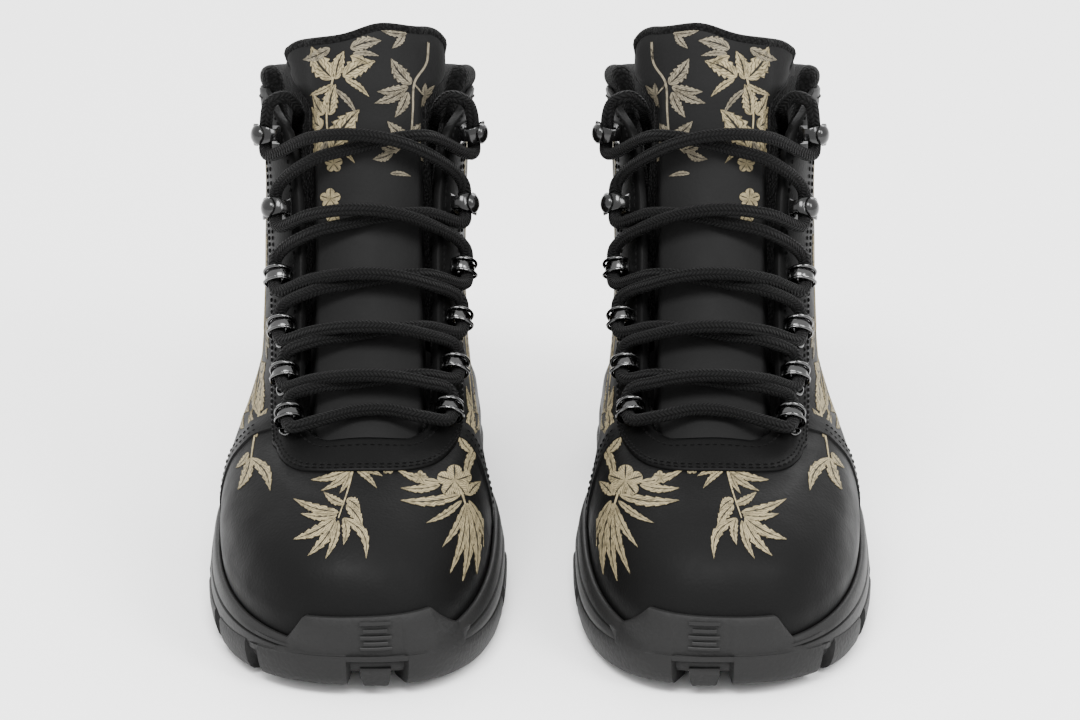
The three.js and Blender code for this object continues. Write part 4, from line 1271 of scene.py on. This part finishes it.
def build_loop(name, place):
    """An open loop: two bright rails over the lace, and a teardrop ring that leans down and outwards."""
    arch = flat_path([(-4.6, 1.0), (-4.8, 4.6), (-2.6, 7.2), (0.4, 8.2), (3.2, 7.7), (5.3, 5.4), (6.1, 2.6),
                      (5.9, 1.0)], FITTING_STEPS)
    body = strip(place, arch * 0.9, 0.6, [1.9, 2.1, 1.2], [0, 0.45, 1])
    spread = along_arc(len(arch), [1.0, 1.05, 1.12, 0.8, 0.5], [0, 0.2, 0.45, 0.75, 1])
    for up in (-RAIL_OFF, RAIL_OFF):
        rail = [place_point(place, a, b, up * k) for (a, b), k in zip(arch, spread)]
        body.join(sweep(smooth_path(rail, 2), 0.66, 8))
    foot = flat_path([(-4.9, 0.75), (0.0, 0.62), (4.0, 0.7), (6.4, 0.9)], FITTING_STEPS)
    body.join(strip(place, foot, 0.7, [2.8, 2.8, 1.7]))
    cos, sin = math.cos(RING_LEAN), math.sin(RING_LEAN)
    turn = np.linspace(0, math.tau, 41)
    along = 6.6 + 4.0 * np.cos(turn)
    across = 2.7 * np.sin(turn) * (0.72 + 0.28 * np.cos(turn))
    ring = band_point(place, along * cos + across * sin, across * cos - along * sin, 0.75)
    body.join(sweep(ring, 0.62, 8))
    spine = np.linspace(2.4, 8.6, 7)
    out, up = spine * cos, -spine * sin
    radius = np.array([0.8, 1.5, 1.9, 2.1, 2.0, 1.5, 0.7])
    normals = last_normal(*throat_spot(*band_spot(place, out, up)))
    body.join(sweep(band_point(place, out, up, 0.35), radius, 12, normals, 0.32))
    publish(name, body, "gunmetal", "boot", name, 45)


def build_hook(name, place):
    """A speed hook: a riveted foot, a neck, a round cap, and a lip that curls down on the outside."""
    foot = flat_path([(-4.6, 0.75), (0.0, 0.65), (5.2, 0.75)], FITTING_STEPS)
    neck = flat_path([(-4.2, 0.9), (-4.7, 3.4), (-4.2, 5.8), (-2.4, 7.4), (0.6, 8.0)], FITTING_STEPS)
    lip = flat_path([(0.6, 8.1), (3.0, 8.2), (5.2, 7.3), (6.4, 5.6)], FITTING_STEPS)
    rivet = [(2.128, 0.0), (2.09, 0.25), (1.71, 0.63), (0.855, 0.9), (0.08, 0.95)]
    dome = [(3.9, -0.5), (4.2, 0.1), (4.0, 0.9), (3.4, 1.7), (2.4, 2.4), (1.2, 2.8), (0.08, 2.9)]
    body = strip(place, foot, 0.8, [3.6, 3.6])
    body.join(turned(place, 1.6, 0.95, rivet, 20))
    body.join(strip(place, neck, 0.9, [2.6, 2.4, 3.4, 3.8], [0, 0.3, 0.7, 1]))
    body.join(strip(place, lip, 0.9, [4.4, 4.3, 3.0]))
    body.join(turned(place, 0.2, 7.9, dome, 28))
    publish(name, body, "hook", "boot", name, 50)


def build_hardware():
    loops = len(LEVELS) - HOOK_LEVELS
    for level, (w, x) in enumerate(LEVELS):
        for side, label in ((1, "inner"), (-1, "outer")):
            place = throat_frame(side * x, w, EYESTAY)
            if level >= loops:
                build_hook(f"hook_{label}_{level - loops + 1}", place)
            else:
                build_loop(f"loop_{label}_{level + 1}", place)


# ---- The lace: the same route as its CAD solid ----
def lace_offset(x):
    """The lace's axis over the last: on the tongue in the middle, and over the eyestay at the sides."""
    on_tongue = tongue_top(0.0) + LACE_D / 2 + 1.3
    on_eyestay = EYESTAY + LACE_D / 2 + 1.9
    return on_tongue + (on_eyestay - on_tongue) * smooth((abs(x) - 6) / 14)


def through(level, side):
    """The lace's points at one fitting, from above it to below it."""
    w, x = LEVELS[level]
    place = throat_frame(side * x, w, EYESTAY + LACE_LIFT)
    leads = ((-1.8, LEAD_LIFT, 7.6), (1, 0, 0), (-1.8, LEAD_LIFT, -7.6))
    return [place_point(place, out, off, up) for out, off, up in leads]


def climb(p):
    """How far up the throat a place is, along its slope of 45 degrees."""
    return (p[..., 1] + p[..., 2]) / math.sqrt(2)


def lace_over(x, height, lift):
    """The lace's place over the tongue at x, at a height up the throat's slope."""
    ws = np.linspace(THROAT_BASE - 0.08, 1.1, 400)
    line = on_throat(x, ws, lace_offset(x) + lift)
    return points_at(height, climb(line), line)


def strand(start, end, hump, arch=0.0):
    """Points from one side to the other. hump lifts the lace over the one that it crosses."""
    reach = 18.0
    side = math.copysign(1, start[0])
    out = []
    for x in np.linspace(reach, -reach, 4):
        across = side * x
        height = climb(start) + (climb(end) - climb(start)) * (start[0] - across) / (start[0] - end[0])
        lift = hump * math.exp(-((x / HUMP_SPREAD) ** 2))
        out.append(lace_over(across, height + arch * (1 - (x / reach) ** 2), lift))
    return out


def half_lace(start_side, over):
    """One end's route, from its top fitting down to the bar at the foot."""
    points, side = [], start_side
    for level in range(len(LEVELS) - 1, -1, -1):
        points += through(level, side)
        if level > 0:
            hump = HUMP if level % 2 == over else 0.0
            points += strand(points[-1], through(level - 1, -side)[0], hump)
            side = -side
    return points


def tail(side):
    """An end's route over the eyestay's top and down inside the shaft."""
    over = [(0.974, 32.9, 7.1), (0.987, 31.6, 4.6), (0.987, 31.4, 0.5), (0.97, 31.5, -4)]
    down = [(0.92, 1.15, -10), (0.82, 1.36, -9), (0.66, 1.46, -7.5), (0.5, 1.5, -7.5)]
    return ([surface(t, angle_at_x(t, side * x), off) for t, x, off in over] +
            [surface(t, side * angle, off) for t, angle, off in down])


def lace_route():
    first, second = half_lace(1, 0), half_lace(-1, 1)
    bar = strand(first[-1], second[-1], 0.0, BAR_ARCH)
    return tail(1)[::-1] + first + bar + second[::-1] + tail(-1)


def build_lace():
    path = even_path(smooth_path(lace_route(), 10), 0.8)
    normals = np.zeros_like(path) + (0, -0.6, 0.8)
    tube = sweep(path, LACE_D / 2, 16, normals, 0.9)
    publish("lace", tube, "lace", "boot", "lace", ALL_SMOOTH)
    for side, label in ((1, "inner"), (-1, "outer")):
        before, tip = (np.array(p) for p in tail(side)[-2:])
        along = unit(tip - before)
        places = np.array([0.3, 0.8, 2.0, 4.0, 6.0, 12.0, 16.5, 17.6, 18.0])
        radius = np.array([1.5, 1.75, 1.72, 1.62, 1.7, 1.62, 1.55, 1.3, 0.8])
        tube = sweep(tip + along * places[:, None], radius, 16)
        publish(f"aglet_{label}", tube, "aglet", "boot", f"aglet_{label}")


# ---- Printed sprigs ----
class FrontMap:
    """Finds the place of the surface behind (x, v), as seen from the front and a little above."""

    def __init__(self, ts, xs, offset, throat):
        w, x = np.meshgrid(ts, xs, indexing="ij")
        t, angle = throat_spot(x, w) if throat else (w, angle_at_x(w, x))
        self.xs = xs
        self.points = surface(t, angle, offset(x, w))
        self.normals = last_normal(t, angle)
        self.height = self.points[..., 2] * math.cos(VIEW_TILT) + self.points[..., 1] * math.sin(VIEW_TILT)

    def place(self, x, v, lift):
        """Places over the surface, where x and v fall between the grid's columns and rows."""
        f = np.clip(np.interp(x, self.xs, np.arange(len(self.xs))), 0, len(self.xs) - 1.001)
        j, f = f.astype(int), (f % 1)[:, None]
        heights = self.height[:, j].T * (1 - f) + self.height[:, j + 1].T * f
        i = np.clip((heights < v[:, None]).sum(1) - 1, 0, len(self.points) - 2)
        rows = np.arange(len(x))
        g = np.clip((v - heights[rows, i]) / (heights[rows, i + 1] - heights[rows, i]), 0, 1)[:, None]

        def mix(grid):
            low = grid[i, j] * (1 - f) + grid[i, j + 1] * f
            high = grid[i + 1, j] * (1 - f) + grid[i + 1, j + 1] * f
            return low * (1 - g) + high * g
        return mix(self.points) + unit(mix(self.normals)) * np.asarray(lift)


SIDE_RADIUS = 78
SIDE_HEIGHT = 205
LEAF_ROWS = 37
LEAF_COLS = 9
PRINT_THICK = 0.16
PRINT_LIFT = 0.1
PRINT_SINK = 0.15
LEAF_BEND = 0.08
PETALS = 5


def leaf_grid(base, tip, width, bend, teeth=6, blunt=False):
    """A leaf's flat outline in (x, v), bent to one side: pointed and toothed, or blunt and smooth."""
    base, tip = np.asarray(base, float), np.asarray(tip, float)
    along = tip - base
    length = np.linalg.norm(along)
    along = along / length
    across = np.array([-along[1], along[0]])
    f = np.linspace(0, 1, LEAF_ROWS)[:, None]
    u = np.linspace(-1, 1, LEAF_COLS)[None]
    if blunt:
        body = np.sqrt(np.clip(np.sin(math.pi * f ** 1.5), 0, 1))
    else:
        tooth = 1 - 0.36 * ((f * teeth + 0.35) % 1) * (f > 0.1)
        body = np.sin(math.pi * f ** 0.75) ** 0.9 * tooth
    half = width / 2 * np.maximum(body, 0.01)
    curve = bend * np.sin(math.pi * f) * length
    shift = along * length * f[..., None] + across * (curve + u * half)[..., None]
    sweep_back = along * (0.12 * width * (1 - np.abs(u)) * (1 - f))[..., None]
    grid = base + shift + sweep_back
    uv = np.stack(np.broadcast_arrays(u, f), -1)
    return grid, uv


def stem_grid(points, width):
    """A thin stem along a smooth line in (x, v)."""
    line = flat_path(points, 8)
    ahead = unit(np.gradient(line, axis=0))
    across = np.stack([-ahead[:, 1], ahead[:, 0]], -1)
    half = width / 2 * np.linspace(1, 0.5, len(line))[:, None]
    grid = np.stack([line - across * half, line, line + across * half], 1)
    f = np.linspace(0.3, 0.36, len(line))[:, None]
    uv = np.stack(np.broadcast_arrays(np.array([[0.5, 0.52, 0.5]]), f), -1)
    return grid, uv


def side_place(side):
    """Places on a quarter's side: x runs back round it from the toe, and v up it from the sole."""
    def place(x, v, lift):
        return surface(v / SIDE_HEIGHT, side * x / SIDE_RADIUS, LEATHER + lift + 0 * x)
    return place


def printed(grids, place):
    """Thin closed leaves laid on a surface."""
    out = Solid()
    for grid, uv in grids:
        x, v = grid[..., 0].ravel(), grid[..., 1].ravel()
        outer = place(x, v, PRINT_LIFT + PRINT_THICK).reshape(*grid.shape[:2], 3)
        inner = place(x, v, PRINT_LIFT - PRINT_SINK).reshape(*grid.shape[:2], 3)
        leaf = shell(outer, inner)
        leaf.uvs = [np.concatenate([uv.reshape(-1, 2)] * 2)]
        out.join(leaf)
    return out


def polar(centre, degrees, reach):
    """A place at a distance from another, in a direction given from +x."""
    angle = math.radians(degrees)
    return centre[0] + reach * math.cos(angle), centre[1] + reach * math.sin(angle)


def spray(centre, count, start, step, length, width):
    """Leaves that fan out from one place, longest in the middle. Angles are in degrees from +x."""
    fan = []
    for k in range(count):
        reach = length * 0.9 ** abs(k - (count - 1) / 2)
        fan.append(leaf_grid(centre, polar(centre, start + step * k, reach), width, LEAF_BEND * (-1) ** k))
    return fan


def flower(centre, radius, start=90):
    """Blunt petals round one place."""
    turns = (start + 360 / PETALS * k for k in range(PETALS))
    return [leaf_grid(centre, polar(centre, turn, radius), radius * 0.8, 0.0, 2, True) for turn in turns]


def vine(points, reach, width, start):
    """A stem with leaves in turn on its two sides, and one at its tip."""
    line = flat_path(points, 6)
    grids = [stem_grid(points, 0.8)]
    ahead = unit(np.gradient(line, axis=0))
    for k, i in enumerate(range(3, len(line) - 2, 4)):
        side = start * (-1) ** k
        across = np.array([-ahead[i][1], ahead[i][0]]) * side
        size = reach * (1 - 0.35 * i / len(line))
        tip = line[i] + (ahead[i] * 0.75 + across * 0.85) * size
        grids.append(leaf_grid(line[i], tip, width, LEAF_BEND * side))
    grids.append(leaf_grid(line[-1], line[-1] + ahead[-1] * reach, width, 0.05))
    return grids


def leaves(*rows):
    """Leaves given as base x, v, tip x, v, width and an optional bend."""
    return [leaf_grid((x, v), (tip_x, tip_v), width, *(bend or [0.06]))
            for x, v, tip_x, tip_v, width, *bend in rows]


def build_tongue_prints():
    throat = FrontMap(np.linspace(0.55, 1.118, 200), np.linspace(-36, 33, 139), tongue_offset, True)
    cream = leaves(
        (-13, 238, -22, 251, 9.5), (-12, 238, -8.5, 249, 6), (-9, 239, 3.5, 245, 8), (-8, 238, 1, 231, 3),
        (-13, 236, -24, 232, 2.6), (-6, 247, 2, 243, 3), (-17.5, 224, -22, 233, 6), (-15, 224, -12, 236, 7),
        (-18, 219, -29, 228, 9.5), (-18, 218, -27, 208, 8), (-14, 211, -3, 226, 10.5),
        (-13, 212, -5, 205, 2.5),
        (-24, 218, -28.5, 212, 4))
    cream += flower((-13.5, 205), 3.6) + flower((-15, 191), 4.2) + flower((-14, 185), 3.4)
    cream += [stem_grid([(-11, 247), (-13, 238), (-16, 226), (-15.5, 214), (-14, 205)], 0.8)]
    umber = leaves(
        (-14, 250, -26, 246, 5), (-6, 250, 6, 253, 6), (-5, 248, 5, 247, 2.6), (-16, 214, -23, 204, 3),
        (-12, 234, -4, 224, 2.6), (17, 236, 9.5, 246, 6.5), (16, 235, 4, 233, 4.5), (15, 234, 3, 228.5, 4.5),
        (16, 233, 11, 223, 4.5), (16, 215, 8, 221.5, 5), (17, 215, 23, 221, 4.5), (18, 213.5, 27, 206, 6.5),
        (12, 210, 4, 213.5, 4.5), (10, 209, 2, 206.5, 4), (16, 256, 6, 257, 3), (15, 256, 10, 250, 3.2),
        (9, 201, 17, 200, 2.2))
    umber += spray((24, 232), 5, -100, 50, 6, 3.2)
    umber += [stem_grid([(25, 253), (24, 245), (18.5, 237), (18, 225), (16.5, 215), (11, 209)], 0.9),
              stem_grid([(18.5, 236), (21.5, 233), (24, 232)], 0.6)]
    publish("tongue_print_cream", printed(cream, throat.place), "cream", "tongue")
    publish("tongue_print_umber", printed(umber, throat.place), "umber", "tongue")


def build_vamp_prints():
    ts, xs = np.linspace(0.04, 0.62, 200), np.linspace(-50, 42, 185)
    front = FrontMap(ts, xs, lambda x, w: LEATHER + 0 * x, False)
    cream = leaves(
        (-44, 90, -36, 78, 5, 0.14), (-44, 90, -48.5, 78, 4.6), (-45, 92, -50, 86, 2.6),
        (-43, 100, -38, 109, 3.2), (-42.5, 98, -45.5, 108, 3.4), (-41, 108, -40, 121, 4.2),
        (-41.5, 106, -45, 117, 3), (-6, 86, -21, 82, 3.4), (-5, 86, -17, 78, 3), (-4, 86, 4, 79, 2.6),
        (-6, 86, -10, 77, 2.6), (-3, 86, 6, 83.5, 2.4), (-8, 73, -16, 77.5, 3.4), (-7, 75, -2, 71, 4.5),
        (-7, 73, -1, 65, 4.8), (-10, 70, -27, 75, 4), (-10.5, 69, -24, 69.5, 3.4),
        (-11, 68, -26.5, 60, 4.6), (-11, 67, -21, 54, 4.2), (-10, 67, -14.5, 53, 3),
        (-8, 68, -8, 58, 3.4, 0.1), (-8, 68, 0.5, 53, 4.2, 0.2), (27, 81, 11, 86, 3.4),
        (27, 80, 13, 79, 3.4), (34, 76, 13, 74.5, 4.4), (34.5, 74, 22, 66, 2.8), (36, 73, 34.5, 44, 4),
        (36, 73, 30, 47, 3.4), (36.5, 73, 39.5, 46, 3.6), (36, 73, 27.5, 57, 3), (37, 74, 43, 56, 2.6),
        (36.5, 76, 41, 81, 4.5), (36, 84, 41, 97, 3.6), (37.5, 92, 33.5, 100, 3),
        (38, 96, 38.5, 112, 3.4), (38, 98, 42, 108, 3))
    cream += flower((32, 81.5), 6) + flower((8, 86.5), 2.4) + flower((20, 83), 2.4)
    cream += [stem_grid([(-5, 87), (-7, 78), (-10, 68)], 0.7),
              stem_grid([(32, 82), (34.5, 77), (36, 72)], 0.8),
              stem_grid([(-41, 112), (-43, 100), (-44, 89)], 0.7),
              stem_grid([(36, 76), (37.5, 90), (38, 104)], 0.7)]
    publish("vamp_print", printed(cream, front.place), "cream", "boot")


def build_side_prints():
    """Sprigs of the same kind up the sides and round the heel."""
    for side, label in ((1, "inner"), (-1, "outer")):
        place = side_place(side)
        cream = vine([(88, 70), (98, 96), (94, 122), (108, 150), (104, 172)], 18, 8, side)
        cream += vine([(150, 62), (142, 92), (152, 120), (146, 146)], 17, 8, -side)
        cream += vine([(200, 74), (190, 102), (198, 132), (188, 158)], 16, 7.5, side)
        cream += flower((124, 84), 8, 20) + flower((172, 152), 7, 50) + flower((128, 176), 6, 10)
        cream += spray((112, 62), 7, 20, 23, 24, 4.6) + spray((176, 66), 6, 30, 24, 22, 4.4)
        cream += spray((126, 128), 6, -150, 26, 22, 4.4) + spray((168, 118), 6, 10, 30, 20, 4.2)
        publish(f"quarter_print_{label}", printed(cream, place), "cream", "boot")
        umber = vine([(120, 110), (128, 132), (122, 156), (132, 180)], 10, 5, side)
        umber += vine([(176, 88), (168, 112), (174, 130)], 9, 5, -side)
        umber += spray((86, 118), 5, 60, 40, 9, 4)
        publish(f"quarter_vine_{label}", printed(umber, place), "umber", "boot")


def build_seam_stitching():
    rows = Solid()
    for side in (1, -1):
        for behind in (2.4, 5.0):
            line, normals = seam_line(side, behind, np.linspace(0.07, 0.42, 60))
            rows.join(stitches(line, normals))
    angle = np.linspace(1.25, math.tau - 1.25, 220)
    t = np.full(len(angle), 0.978)
    rows.join(stitches(surface(t, angle, LEATHER), last_normal(t, angle)))
    publish("seam_stitching", rows, "thread", "boot")


HIDDEN_NODES = {"shank": "nylon", "heel_counter": "nylon", "toe_puff": "nylon", "lasting_board": "board"}


def dress_hidden_nodes():
    """Gives their looks to the CAD solids that stay: stiffeners, shank and board, inside the boot."""
    for side in SIDES:
        for node, look in HIDDEN_NODES.items():
            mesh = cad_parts[f"{side}_{node}"].data
            mesh.materials.clear()
            mesh.materials.append(LOOK[look])


build_lace()
build_hardware()
build_vamp()
build_quarter("quarter_inner", 1)
build_quarter("quarter_outer", -1)
build_heel_stay()
build_eyestay()
build_tongue()
build_collar()
build_lining()
build_pull_tab()
build_midsole()
build_outsole()
build_toe_mark()
build_footbed()
build_tongue_prints()
build_vamp_prints()
build_side_prints()
build_seam_stitching()
dress_hidden_nodes()
